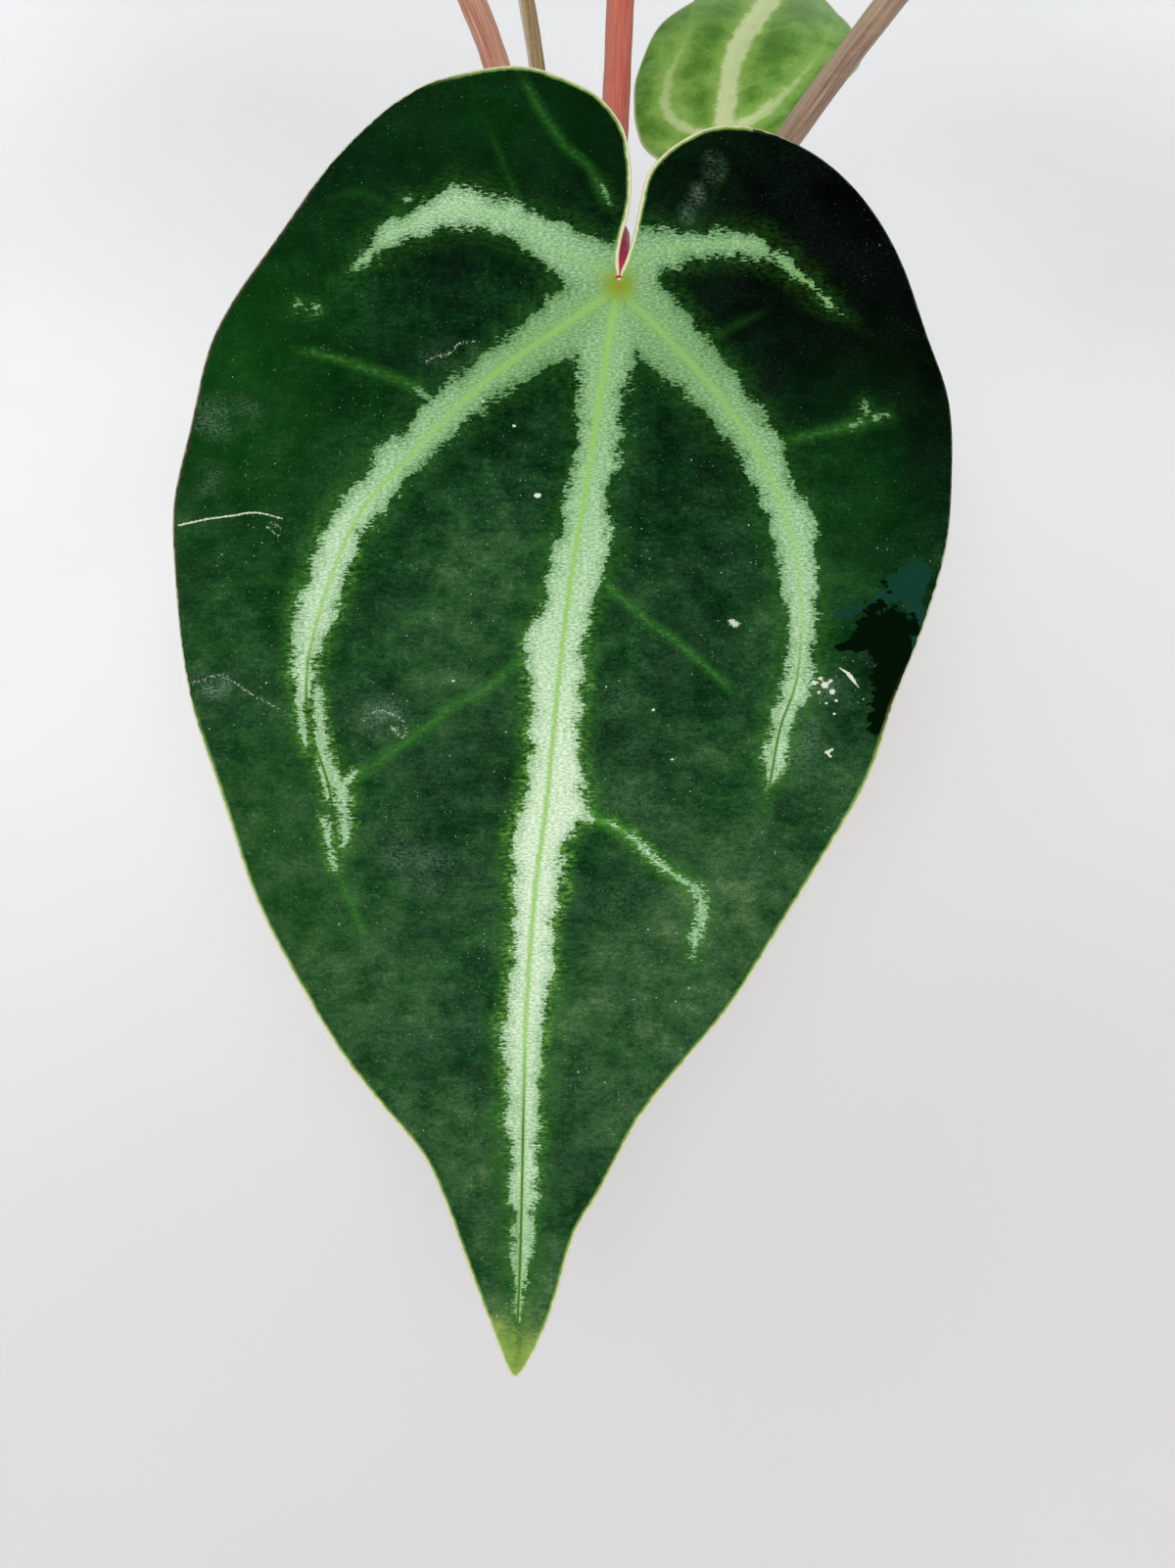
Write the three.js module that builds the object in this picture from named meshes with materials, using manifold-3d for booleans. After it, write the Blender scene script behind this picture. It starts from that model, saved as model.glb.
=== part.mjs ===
// Potted anthurium hybrid: a rosette of long-stalked, heart-shaped, silver-veined leaves on a short rooted
// stem in a plain clay pot. Millimetres, +Z up, origin at the centre of the pot's underside. The largest
// blade hangs towards -Y with its upper face up and forward.
import * as THREE from 'three';
import { mergeVertices } from 'three/addons/utils/BufferGeometryUtils.js';
import Module from 'manifold-3d';

const wasm = await Module();
wasm.setup();

// Driving dimensions

const SEAT_GAP = 0.3;

const POT = {
  height: 90,
  baseRadius: 37,
  bodyTopRadius: 50,
  rimRadius: 54,
  rimHeight: 20,
  wall: 4.5,
  floor: 6,
  segments: 40,
  drainHoles: 3,
  drainRadius: 3.5,
  drainCircle: 18,
  drainSides: 12,
  edge: 1.5,
};

const MIX = {
  top: 78,
  crown: 1.5,
  coarseLump: 0.77,
  fineLump: 0.55,
  rings: 8,
  holeDepth: 26,
  holeGap: 0.4,
  holeSides: 24,
};

const STEM = {
  foot: 54,
  soilRadius: 8.6,
  footTaper: 2,
  footTaperHeight: 8,
  scars: [84, 89.5, 94.5, 99],
  scarHeight: 1.4,
  scarRidge: 0.7,
  crownRadius: 8.2,
  shoulder: 104,
  shoulderRadius: 5.2,
  shoulderTop: 109,
  top: 112,
  segments: 18,
};

// Roots leave the stem below the leaf stalks, arch outwards and go straight down into the mix.
const ROOT = { radius: 1.9, sides: 6, steps: 7, inside: 4, outside: 10, arch: 4.5, fall: 2.5 };

const ROOTS = [
  { angle: 12, leave: 92, reach: 21, end: 58 },
  { angle: 72, leave: 86, reach: 17, end: 60 },
  { angle: 128, leave: 90, reach: 24, end: 56 },
  { angle: 196, leave: 87, reach: 19, end: 60 },
  { angle: 262, leave: 91, reach: 22, end: 57 },
  { angle: 322, leave: 85, reach: 17, end: 61 },
];

// Dry bracts: flare is how far the tip leans out, belly the swell above the foot, lift the gap that the
// bract leaves between itself and the stem above its foot.
const SHEATH = {
  azimuths: [-52, -128, 66],
  foot: 86,
  length: 38,
  footWidth: 10,
  tipWidth: 0.5,
  thickness: 0.9,
  flare: 9.5,
  flarePower: 1.35,
  belly: 3.4,
  lift: 3.6,
  rows: 6,
  columns: 4,
};

const STALK = { sides: 8, steps: 16 };

// Ribs stand out of the lower face under the main veins. Quilt is the swell of the blade between veins.
const BLADE = {
  thickness: 0.85,
  midribDepth: 1.7,
  basalRibDepth: 1.1,
  ribTaper: 0.75,
  ribWidth: 1.8,
  quilt: 1.5,
  quiltReach: 9,
  sideSpan: 0.36,
  wavePower: 6,
  nearVein: 0.12,
  bulge: 0.9,
};

const MIDRIB = 2;

// Leaf outlines, in millimetres in the blade's own plane: x to the right of the upper face with the tip
// pointing down, y from the stalk joint towards the tip. An outline starts and ends at the joint, in the
// bottom of the notch, and runs round the left lobe, the tip and the right lobe.
const MATURE_SHAPE = {
  length: 188.5,
  outline: [
    [0, 0], [-0.6, -3.5], [-0.5, -7], [1.3, -10.5], [1.9, -15], [1.6, -20], [0.3, -25],
    [-3.5, -29.7], [-8.6, -32.2], [-17, -34.3], [-29, -33], [-36, -29.7], [-43, -23.5],
    [-51, -15], [-59, -4.5], [-65, 4.5],
    [-69, 12.5], [-71.8, 24], [-74.2, 36], [-74.4, 47.5], [-73.8, 59], [-71.8, 70], [-68.5, 81],
    [-63, 99], [-56.5, 113.5], [-49, 127.5], [-41, 138.2], [-34, 147], [-30.5, 154.5], [-26.5, 165.5],
    [-22.5, 177.5], [-19.8, 185.5], [-18, 188.5], [-15.5, 185], [-11.5, 175.5], [-7.5, 162],
    [-3.2, 154], [2, 143.5], [6, 137.5], [17.5, 123.5], [25.5, 111], [34, 97], [42, 82], [46.5, 69],
    [51, 56.5], [54.8, 43], [55.5, 31], [54.6, 19.5], [51.5, 9.5], [47, -2.5], [40.5, -12.5],
    [33, -20], [24.5, -24.2], [16, -24.6], [9.5, -21.7], [5.4, -17.5], [3.8, -13], [3, -8.5],
    [2.1, -4], [0, 0],
  ],
  veins: [
    [[0, 0], [-4, -1.7], [-10, -5], [-16.5, -9], [-24, -11.2], [-31, -10.3], [-38.5, -6.5], [-45, -1.2],
      [-53, 4.8], [-61.5, 9.5], [-69, 12.5]],
    [[0, 0], [-2.4, 3.2], [-10, 8.5], [-22, 17], [-33.5, 28], [-43, 38.5], [-48.7, 51], [-52, 63],
      [-52, 73.5], [-49, 83.5], [-47.6, 93], [-46.5, 105], [-43.8, 116], [-41.8, 128], [-41, 138.2]],
    [[0, 0], [-0.7, 4.5], [-3, 18.5], [-5, 32], [-8, 50], [-10.2, 68], [-12, 86.5], [-14, 101.5],
      [-15.6, 121.5], [-16.3, 145], [-17, 168.5], [-18, 188.5]],
    [[0, 0], [1.3, 3.4], [6.5, 8.5], [16.5, 19.5], [24.3, 31], [28.6, 42.5], [30.4, 54], [29.8, 66],
      [27, 74.5], [25.3, 84], [23, 97], [20, 110], [17.5, 123.5]],
    [[0, 0], [4.5, -3.8], [10.5, -4.9], [18, -5.6], [23.5, -4.9], [30, -0.4], [37.5, 6.3], [45, 10.8],
      [52.8, 13.5]],
  ],
  lobeTops: [[-17, -34.3], [20, -24.9]],
};

const YOUNG_SHAPE = {
  length: 63,
  outline: [
    [0, 0], [-0.6, -2.6], [-2.2, -5.8], [-5.2, -8], [-9, -7], [-12, -2.5], [-14, 5], [-16.2, 13],
    [-19.4, 21.5], [-22.8, 29.5], [-23.8, 36], [-21.4, 42.5], [-16.6, 49], [-10.4, 56], [-4, 63],
    [0.8, 58], [7.4, 51], [13.6, 44.5], [18.6, 37.5], [21.4, 28.5], [21.8, 17], [19.8, 6.4], [18, 1.4],
    [15, -4], [11.8, -7.4], [8, -9.6], [4.4, -8.4], [1.8, -5.4], [0.6, -2.4], [0, 0],
  ],
  veins: [
    [[0, 0], [-3.4, -1.4], [-6.8, -1.6], [-10, 0.2], [-12.2, 2.4], [-14, 5]],
    [[0, 0], [-2.6, 4.5], [-7.1, 10.8], [-9.9, 17], [-12.2, 23.3], [-14.2, 30], [-15.6, 37], [-16.6, 49]],
    [[0, 0], [0.8, 8], [1.7, 17], [2.2, 26], [0.9, 37], [-1.8, 50], [-4, 63]],
    [[0, 0], [5.4, 1.6], [10.6, 4], [13.4, 8], [14.6, 13.5], [14.7, 20], [14, 28], [13.3, 36],
      [13.6, 44.5]],
    [[0, 0], [3.4, -2.6], [7.4, -4], [11, -3.2], [14.2, -2.2], [16.9, -1]],
  ],
  lobeTops: [[-6.5, -7.9], [7.4, -9.6]],
};

// Each leaf: the stalk's path from the stem to just under the blade's joint, with its radius along the way,
// and the blade's size, place and droop. Yaw turns the tip round the pot from -Y, pitch tips it down.
const LEAVES = [
  {
    name: 'main', shape: MATURE_SHAPE, scale: 1, mirror: 1, columns: 7, rows: 17,
    joint: [1.9, -82.6, 231.4], yaw: 0, pitch: 32, roll: 0,
    droop: 26, side: 5, wave: 1.2, waves: 17, color: 0x1f4a25,
    stalk: [
      [0, -8, 95], [0, -9.6, 104], [0.2, -15, 122], [0.8, -31, 156], [1.8, -53, 196], [3.6, -65.5, 223],
      [3.9, -71, 229.6], [2.9, -76.4, 230.8], [1.9, -82.3, 229.2],
    ],
    radii: [2, 3.9, 3, 2.7, 2.7, 2.9, 3, 2.7, 2.2], stalkColor: 0x8d3b3a,
  },
  {
    name: 'right', shape: MATURE_SHAPE, scale: 0.93, mirror: -1, columns: 4, rows: 10,
    joint: [85, 3, 262], yaw: 102, pitch: 31, roll: 0,
    droop: 30, side: 9, wave: 1.8, waves: 13, color: 0x24502a,
    stalk: [
      [7.6, -2.6, 97], [9.4, -3.4, 106], [14.2, -5.4, 128], [22.5, -8, 159], [35.5, -10.5, 193.9],
      [51.9, -11.5, 228.6], [64, -9.5, 248], [76, -3.4, 258], [85, 3, 260],
    ],
    radii: [2, 3.8, 3, 2.6, 2.5, 2.5, 2.7, 2.8, 2.2], stalkColor: 0x94785f,
  },
  {
    name: 'back', shape: MATURE_SHAPE, scale: 1, mirror: 1, columns: 4, rows: 10,
    joint: [6, 45, 305], yaw: 178, pitch: 35, roll: 0,
    droop: 32, side: 8, wave: 1.6, waves: 15, color: 0x1f4a25,
    stalk: [
      [-0.6, 7.8, 99], [-0.6, 9.4, 108], [0.4, 10, 130], [2.2, 10, 175.5], [3.1, 14, 207],
      [4.6, 22, 250], [5.6, 30, 285], [6, 38, 301], [6, 44.5, 303],
    ],
    radii: [2, 3.9, 3, 2.8, 2.7, 2.6, 2.8, 2.9, 2.2], stalkColor: 0xc06a52,
  },
  {
    name: 'left', shape: MATURE_SHAPE, scale: 0.92, mirror: 1, columns: 4, rows: 10,
    joint: [-62, 12, 270], yaw: 254, pitch: 30, roll: 0,
    droop: 28, side: 8, wave: 1.8, waves: 13, color: 0x24502a,
    stalk: [
      [-7.2, -3.4, 95], [-8.7, -4, 104], [-10.8, -2.6, 126], [-14.6, 2.4, 162], [-21, 6, 197],
      [-25.4, 6.2, 213.7], [-36, 7.6, 242], [-50, 10, 262.5], [-62, 12, 268],
    ],
    radii: [2, 3.8, 3, 2.7, 2.6, 2.6, 2.7, 2.9, 2.2], stalkColor: 0xa06e5c,
  },
  {
    name: 'small', shape: MATURE_SHAPE, scale: 0.6, mirror: 1, columns: 4, rows: 9,
    joint: [-24, 33, 240], yaw: 218, pitch: 38, roll: 0,
    droop: 34, side: 9, wave: 1.4, waves: 11, color: 0x2a5a2e,
    stalk: [
      [-7, 4, 93], [-8.2, 4.8, 101], [-9.2, 6.4, 124], [-10.8, 8.4, 158], [-13.3, 10.5, 192.9],
      [-15.2, 12.6, 208.3], [-18.4, 19, 226], [-21.4, 26.6, 236.6], [-24, 32.6, 238.6],
    ],
    radii: [1.6, 2.9, 2, 1.7, 1.6, 1.6, 1.8, 2, 1.6], stalkColor: 0x8d7a55,
  },
  {
    name: 'young', shape: YOUNG_SHAPE, scale: 1, mirror: 1, columns: 4, rows: 7,
    joint: [24.5, 15.5, 169], yaw: 167, pitch: -2, roll: 0,
    droop: 7, side: 2.6, wave: 0.5, waves: 9, color: 0x6f9a4c,
    stalk: [
      [6.2, 5.2, 101], [7.4, 6.4, 109], [10.4, 8.4, 124], [16, 10.6, 144], [21.6, 12.2, 159],
      [24, 13.8, 165.4], [24.5, 15.2, 168],
    ],
    radii: [1.5, 2.8, 2, 1.6, 1.6, 1.8, 1.4], stalkColor: 0x8a9a5a,
  },
];

// Solids

// The closed body of a geometry, with its shared corners merged.
function toSolid(geometry) {
  const bare = geometry.clone();
  bare.deleteAttribute('normal');
  bare.deleteAttribute('uv');
  const merged = mergeVertices(bare, 1e-4);
  return new wasm.Manifold(new wasm.Mesh({
    numProp: 3,
    vertProperties: Float32Array.from(merged.attributes.position.array),
    triVerts: Uint32Array.from(merged.index.array),
  }));
}

function toGeometry(solid) {
  const mesh = solid.getMesh();
  const geometry = new THREE.BufferGeometry();
  geometry.setAttribute('position', new THREE.BufferAttribute(mesh.vertProperties, 3));
  geometry.setIndex(new THREE.BufferAttribute(mesh.triVerts, 1));
  return geometry;
}

function paintedMesh(name, geometry, color, roughness) {
  const flat = geometry.index ? geometry : mergeVertices(geometry);
  const mesh = new THREE.Mesh(flat, new THREE.MeshStandardMaterial({ color, roughness, metalness: 0 }));
  mesh.name = name;
  return mesh;
}

// A geometry from vertices and triangles, turned outwards if its triangles run the wrong way round.
function closedGeometry(vertices, triangles) {
  let volume = 0;
  for (const [a, b, c] of triangles) {
    volume += vertices[a].dot(vertices[b].clone().cross(vertices[c])) / 6;
  }
  const order = volume > 0 ? triangles : triangles.map(([a, b, c]) => [a, c, b]);
  const numbers = vertices.flatMap((p) => p.toArray());
  const geometry = new THREE.BufferGeometry();
  geometry.setAttribute('position', new THREE.Float32BufferAttribute(numbers, 3));
  geometry.setIndex(order.flat());
  return geometry;
}

function revolved(profile, segments) {
  return new THREE.LatheGeometry(profile.map(([r, z]) => new THREE.Vector2(r, z)), segments)
    .rotateX(Math.PI / 2);
}

// A round tube along a smooth path, closed at both ends, whose radius follows the listed values.
function tube(path, radii, sides, steps) {
  const points = path.map((p) => new THREE.Vector3(...p));
  const curve = new THREE.CatmullRomCurve3(points, false, 'centripetal');
  const frames = curve.computeFrenetFrames(steps, false);
  const vertices = [];
  const triangles = [];
  for (let i = 0; i <= steps; i += 1) {
    const t = curve.getUtoTmapping(i / steps);
    const centre = curve.getPoint(t);
    const place = t * (radii.length - 1);
    const span = Math.min(Math.floor(place), radii.length - 2);
    const radius = THREE.MathUtils.lerp(radii[span], radii[span + 1], place - span);
    for (let k = 0; k < sides; k += 1) {
      const angle = (2 * Math.PI * k) / sides;
      vertices.push(centre.clone()
        .addScaledVector(frames.normals[i], radius * Math.cos(angle))
        .addScaledVector(frames.binormals[i], radius * Math.sin(angle)));
    }
  }
  for (let i = 0; i < steps; i += 1) {
    for (let k = 0; k < sides; k += 1) {
      const a = i * sides + k;
      const b = i * sides + ((k + 1) % sides);
      triangles.push([a, b, b + sides], [a, b + sides, a + sides]);
    }
  }
  const last = steps * sides;
  for (let k = 1; k < sides - 1; k += 1) {
    triangles.push([0, k + 1, k], [last, last + k, last + k + 1]);
  }
  return closedGeometry(vertices, triangles);
}

// Pot and potting mix

// Inner radius of the pot at a height above its floor.
function potInnerRadius(z) {
  const slope = (POT.bodyTopRadius - POT.baseRadius) / (POT.height - POT.rimHeight);
  return POT.baseRadius - POT.wall + slope * z;
}

function potGeometry() {
  const bandFoot = POT.height - POT.rimHeight;
  const lip = POT.height - POT.edge;
  const profile = [
    [0, 0],
    [POT.baseRadius - POT.edge, 0],
    [POT.baseRadius, POT.edge],
    [POT.bodyTopRadius, bandFoot],
    [POT.rimRadius - POT.edge, bandFoot + POT.edge],
    [POT.rimRadius, lip],
    [POT.rimRadius - POT.edge, POT.height],
    [potInnerRadius(POT.height) + POT.edge, POT.height],
    [potInnerRadius(lip), lip],
    [potInnerRadius(POT.floor), POT.floor],
    [0, POT.floor],
  ];
  let pot = toSolid(revolved(profile, POT.segments));
  for (let i = 0; i < POT.drainHoles; i += 1) {
    const angle = (2 * Math.PI * (i + 0.5)) / POT.drainHoles;
    const x = POT.drainCircle * Math.cos(angle);
    const y = POT.drainCircle * Math.sin(angle);
    const drill = new THREE.CylinderGeometry(
      POT.drainRadius,
      POT.drainRadius,
      3 * POT.floor,
      POT.drainSides,
    )
      .rotateX(Math.PI / 2)
      .translate(x, y, POT.floor / 2);
    pot = pot.subtract(toSolid(drill));
  }
  return toGeometry(pot);
}

// Low lumps of bark and grit over the surface of the mix.
function lump(x, y) {
  const across = 0.41 * x + 1.3 * Math.sin(0.23 * y);
  const deep = 0.37 * y - 0.9 * Math.sin(0.19 * x);
  const fine = Math.sin(0.83 * x + 2.1) * Math.sin(0.77 * y + 0.6);
  return MIX.coarseLump * Math.sin(across) * Math.cos(deep) + MIX.fineLump * fine;
}

function mixGeometry(holes) {
  const foot = POT.floor + SEAT_GAP;
  const footRadius = potInnerRadius(foot) - SEAT_GAP;
  const topRadius = potInnerRadius(MIX.top) - SEAT_GAP;
  const vertices = [new THREE.Vector3(0, 0, foot)];
  const triangles = [];
  const ringOf = (radius, height) => {
    for (let k = 0; k < POT.segments; k += 1) {
      const angle = (2 * Math.PI * k) / POT.segments + Math.PI / 2;
      const x = radius * Math.cos(angle);
      const y = radius * Math.sin(angle);
      vertices.push(new THREE.Vector3(x, y, height(x, y)));
    }
  };
  ringOf(footRadius, () => foot);
  ringOf(topRadius, () => MIX.top);
  for (let i = 1; i < MIX.rings; i += 1) {
    const radius = topRadius * (1 - i / MIX.rings);
    ringOf(radius, (x, y) => MIX.top + MIX.crown * (1 - (radius / topRadius) ** 2) + lump(x, y));
  }
  const apex = vertices.push(new THREE.Vector3(0, 0, MIX.top + MIX.crown)) - 1;
  for (let k = 0; k < POT.segments; k += 1) {
    const next = (k + 1) % POT.segments;
    triangles.push([0, 1 + next, 1 + k]);
    for (let i = 0; i < MIX.rings; i += 1) {
      const a = 1 + i * POT.segments;
      const b = a + POT.segments;
      triangles.push([a + k, a + next, b + next], [a + k, b + next, b + k]);
    }
    triangles.push([1 + MIX.rings * POT.segments + k, 1 + MIX.rings * POT.segments + next, apex]);
  }
  let mix = toSolid(closedGeometry(vertices, triangles));
  for (const hole of holes) {
    mix = mix.subtract(hole);
  }
  return toGeometry(mix);
}

// Stem with its leaf scars and roots

// The stem's side, with a low ridge at each old leaf scar. Grow thickens it all round.
function stemProfile(grow) {
  const profile = [
    [0, STEM.foot - grow],
    [STEM.soilRadius - STEM.footTaper + grow, STEM.foot - grow],
    [STEM.soilRadius + grow, STEM.foot + STEM.footTaperHeight],
  ];
  for (const scar of STEM.scars) {
    profile.push([STEM.soilRadius + grow, scar - STEM.scarHeight]);
    profile.push([STEM.soilRadius + STEM.scarRidge + grow, scar]);
  }
  profile.push([STEM.crownRadius + grow, STEM.shoulder]);
  profile.push([STEM.shoulderRadius + grow, STEM.shoulderTop]);
  profile.push([0, STEM.top + grow]);
  return profile;
}

function rootSolid(root, grow) {
  const angle = THREE.MathUtils.degToRad(root.angle);
  const at = (radius, z) => [radius * Math.cos(angle), radius * Math.sin(angle), z];
  const path = [
    at(ROOT.inside, root.leave - 1),
    at(ROOT.outside, root.leave),
    at(root.reach - ROOT.arch, root.leave - ROOT.fall),
    at(root.reach, MIX.top + 2),
    at(root.reach, MIX.top - 6),
    at(root.reach, root.end - grow),
  ];
  const radius = ROOT.radius + grow;
  return toSolid(tube(path, [radius, radius], ROOT.sides, ROOT.steps));
}

function stemSolid(grow) {
  const core = toSolid(revolved(stemProfile(grow), STEM.segments));
  return ROOTS.reduce((stem, root) => stem.add(rootSolid(root, grow)), core);
}

// Dry bract round the stem below the stalks: a lance-shaped curved scale that flares outwards.
function sheathGeometry(azimuth) {
  const { rows, columns } = SHEATH;
  const vertices = [];
  const triangles = [];
  const footRadius = STEM.soilRadius + STEM.scarRidge + 2 * SEAT_GAP;
  const point = (i, j, outer) => {
    const t = j / rows;
    const width = SHEATH.footWidth * Math.sqrt(1 - t * t) * (1 + 0.5 * t) + SHEATH.tipWidth;
    const flare = SHEATH.flare * t ** SHEATH.flarePower;
    const belly = SHEATH.belly * Math.sin(Math.PI * Math.min(t * 1.5, 1)) * t;
    const lift = SHEATH.lift * Math.min(4 * t, 1);
    const radius = footRadius + flare + belly + lift + outer * SHEATH.thickness;
    const angle = azimuth + (i / columns - 0.5) * (width / radius);
    const z = SHEATH.foot + SHEATH.length * t;
    return new THREE.Vector3(radius * Math.cos(angle), radius * Math.sin(angle), z);
  };
  for (const outer of [0, 1]) {
    for (let j = 0; j <= rows; j += 1) {
      for (let i = 0; i <= columns; i += 1) {
        vertices.push(point(i, j, outer));
      }
    }
  }
  const stride = columns + 1;
  const layer = stride * (rows + 1);
  for (let j = 0; j < rows; j += 1) {
    for (let i = 0; i < columns; i += 1) {
      const a = j * stride + i;
      triangles.push([a, a + 1, a + 1 + stride], [a, a + 1 + stride, a + stride]);
      triangles.push([layer + a, layer + a + 1 + stride, layer + a + 1]);
      triangles.push([layer + a, layer + a + stride, layer + a + 1 + stride]);
    }
  }
  const rim = [];
  for (let i = 0; i < columns; i += 1) {
    rim.push(i);
  }
  for (let j = 0; j < rows; j += 1) {
    rim.push(j * stride + columns);
  }
  for (let i = columns; i > 0; i -= 1) {
    rim.push(rows * stride + i);
  }
  for (let j = rows; j > 0; j -= 1) {
    rim.push(j * stride);
  }
  rim.forEach((a, k) => {
    const b = rim[(k + 1) % rim.length];
    triangles.push([a, layer + a, layer + b], [a, layer + b, b]);
  });
  return closedGeometry(vertices, triangles);
}

// Blades

const spline = (points) => new THREE.SplineCurve(points.map(([u, v]) => new THREE.Vector2(u, v)));

// Where along a curve, by length, it passes nearest to a point.
function nearestAlong(curve, [u, v]) {
  const samples = 400;
  let best = 0;
  let least = Infinity;
  for (let i = 0; i <= samples; i += 1) {
    const gap = curve.getPointAt(i / samples).distanceTo(new THREE.Vector2(u, v));
    if (gap < least) {
      least = gap;
      best = i / samples;
    }
  }
  return best;
}

// The curves of a blade: its outline, its five main veins, and where they meet the outline.
function bladeCurves(shape) {
  const outline = spline(shape.outline);
  const ends = shape.veins.map((vein) => nearestAlong(outline, vein.at(-1)));
  const veins = shape.veins.map((vein, k) => {
    const end = outline.getPointAt(ends[k]);
    return spline([...vein.slice(0, -1), end.toArray()]);
  });
  const [leftLobe, rightLobe] = shape.lobeTops.map((top) => nearestAlong(outline, top));
  const sides = [
    (s) => outline.getPointAt(s * leftLobe),
    ...veins.map((vein) => (s) => vein.getPointAt(s)),
    (s) => outline.getPointAt(1 - s * (1 - rightLobe)),
  ];
  return { outline, veins, sides, marks: [leftLobe, ...ends, rightLobe] };
}

// Distance to the nearest main vein, with that vein's number and how far along it the foot lies.
function nearestVein(veinPoints, point) {
  let best = { distance: Infinity, vein: 0, along: 0 };
  veinPoints.forEach((points, vein) => {
    points.forEach((sample, i) => {
      const distance = sample.distanceTo(point);
      if (distance < best.distance) {
        best = { distance, vein, along: i / (points.length - 1) };
      }
    });
  });
  return best;
}

// A blade's upper and lower face share one net of triangles. The net fans out from the stalk joint between
// the notch's margins and the veins, so that each vein is an edge of it. Extra holds the amount by which
// the whole blade is thickened, to cut a seat with clearance.
function bladeGeometry(leaf, extra = 0) {
  const { outline, veins, sides, marks } = bladeCurves(leaf.shape);
  const veinSamples = 80;
  const veinPoints = veins.map((vein) => vein.getSpacedPoints(veinSamples));
  const size = leaf.shape.length / MATURE_SHAPE.length;
  const lastPatch = sides.length - 2;
  const columns = [];
  for (let patch = 0; patch <= lastPatch; patch += 1) {
    columns.push({ patch, f: 0 });
    for (let i = 1; i < leaf.columns; i += 1) {
      const inner = (i - 1) / (leaf.columns - 2);
      columns.push({ patch, f: THREE.MathUtils.lerp(BLADE.nearVein, 1 - BLADE.nearVein, inner) });
    }
  }
  columns.push({ patch: lastPatch, f: 1 });

  const netPoint = ({ patch, f }, s) => {
    const a = sides[patch](s);
    const b = sides[patch + 1](s);
    const mark = THREE.MathUtils.lerp(marks[patch], marks[patch + 1], f);
    const margin = outline.getPointAt(mark);
    const chord = sides[patch](1).lerp(sides[patch + 1](1), f);
    const point = a.lerp(b, f).addScaledVector(margin.sub(chord), s ** BLADE.bulge);
    return { point, mark, s };
  };
  const heights = ({ point, mark, s }) => {
    const { distance, vein, along } = nearestVein(veinPoints, point);
    const droop = -leaf.droop * (Math.max(point.y, 0) / leaf.shape.length) ** 2;
    const side = -leaf.side * (point.x / (BLADE.sideSpan * leaf.shape.length)) ** 2;
    const swell = 1 - Math.exp(-((distance / (size * BLADE.quiltReach)) ** 2));
    const quilt = BLADE.quilt * size * swell;
    const wave = leaf.wave * s ** BLADE.wavePower * Math.sin(2 * Math.PI * leaf.waves * mark);
    const ribDepth = vein === MIDRIB ? BLADE.midribDepth : BLADE.basalRibDepth;
    const ribSide = Math.exp(-((distance / BLADE.ribWidth) ** 2));
    const rib = ribDepth * (1 - BLADE.ribTaper * along) * ribSide * (size + 1) / 2;
    const top = (droop + side + quilt + wave) * leaf.scale;
    return { top: top + extra, bottom: top - BLADE.thickness - rib - extra };
  };

  const upper = [];
  const lower = [];
  const place = (sample) => {
    const { top, bottom } = heights(sample);
    const x = sample.point.x * leaf.scale * leaf.mirror;
    const y = -sample.point.y * leaf.scale;
    upper.push(new THREE.Vector3(x, y, top));
    lower.push(new THREE.Vector3(x, y, bottom));
  };
  place({ point: new THREE.Vector2(0, 0), mark: 0, s: 0 });
  for (const column of columns) {
    for (let j = 1; j <= leaf.rows; j += 1) {
      place(netPoint(column, j / leaf.rows));
    }
  }

  const triangles = [];
  const bottomOf = upper.length;
  const face = (a, b, c) => {
    triangles.push([a, b, c], [bottomOf + a, bottomOf + c, bottomOf + b]);
  };
  const planArea = (a, b, c) => {
    const [p, q, r] = [upper[a], upper[b], upper[c]];
    return leaf.mirror * ((q.x - p.x) * (r.y - p.y) - (r.x - p.x) * (q.y - p.y));
  };
  // Splits a cell along the diagonal that leaves the fuller triangles.
  const cell = (a, b, c, d) => {
    const first = Math.min(planArea(a, b, c), planArea(a, c, d));
    const second = Math.min(planArea(a, b, d), planArea(b, c, d));
    if (first > second) {
      face(a, b, c);
      face(a, c, d);
    } else {
      face(a, b, d);
      face(b, c, d);
    }
  };
  const at = (column, row) => 1 + column * leaf.rows + (row - 1);
  for (let c = 0; c < columns.length - 1; c += 1) {
    face(0, at(c, 1), at(c + 1, 1));
    for (let j = 1; j < leaf.rows; j += 1) {
      cell(at(c, j), at(c, j + 1), at(c + 1, j + 1), at(c + 1, j));
    }
  }
  const rim = [0];
  for (let j = 1; j <= leaf.rows; j += 1) {
    rim.push(at(0, j));
  }
  for (let c = 1; c < columns.length; c += 1) {
    rim.push(at(c, leaf.rows));
  }
  for (let j = leaf.rows - 1; j > 0; j -= 1) {
    rim.push(at(columns.length - 1, j));
  }
  rim.forEach((a, k) => {
    const b = rim[(k + 1) % rim.length];
    triangles.push([a, bottomOf + a, bottomOf + b], [a, bottomOf + b, b]);
  });
  return closedGeometry([...upper, ...lower], triangles);
}

// Assembly

const plant = new THREE.Group();

const stem = stemSolid(0);
const grownStem = stemSolid(SEAT_GAP);
const holeRadius = STEM.soilRadius + MIX.holeGap;
const holeLength = 2 * MIX.holeDepth;
const mixHole = new THREE.CylinderGeometry(holeRadius, holeRadius, holeLength, MIX.holeSides)
  .rotateX(Math.PI / 2)
  .translate(0, 0, MIX.top - MIX.holeDepth + holeLength / 2);

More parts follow.
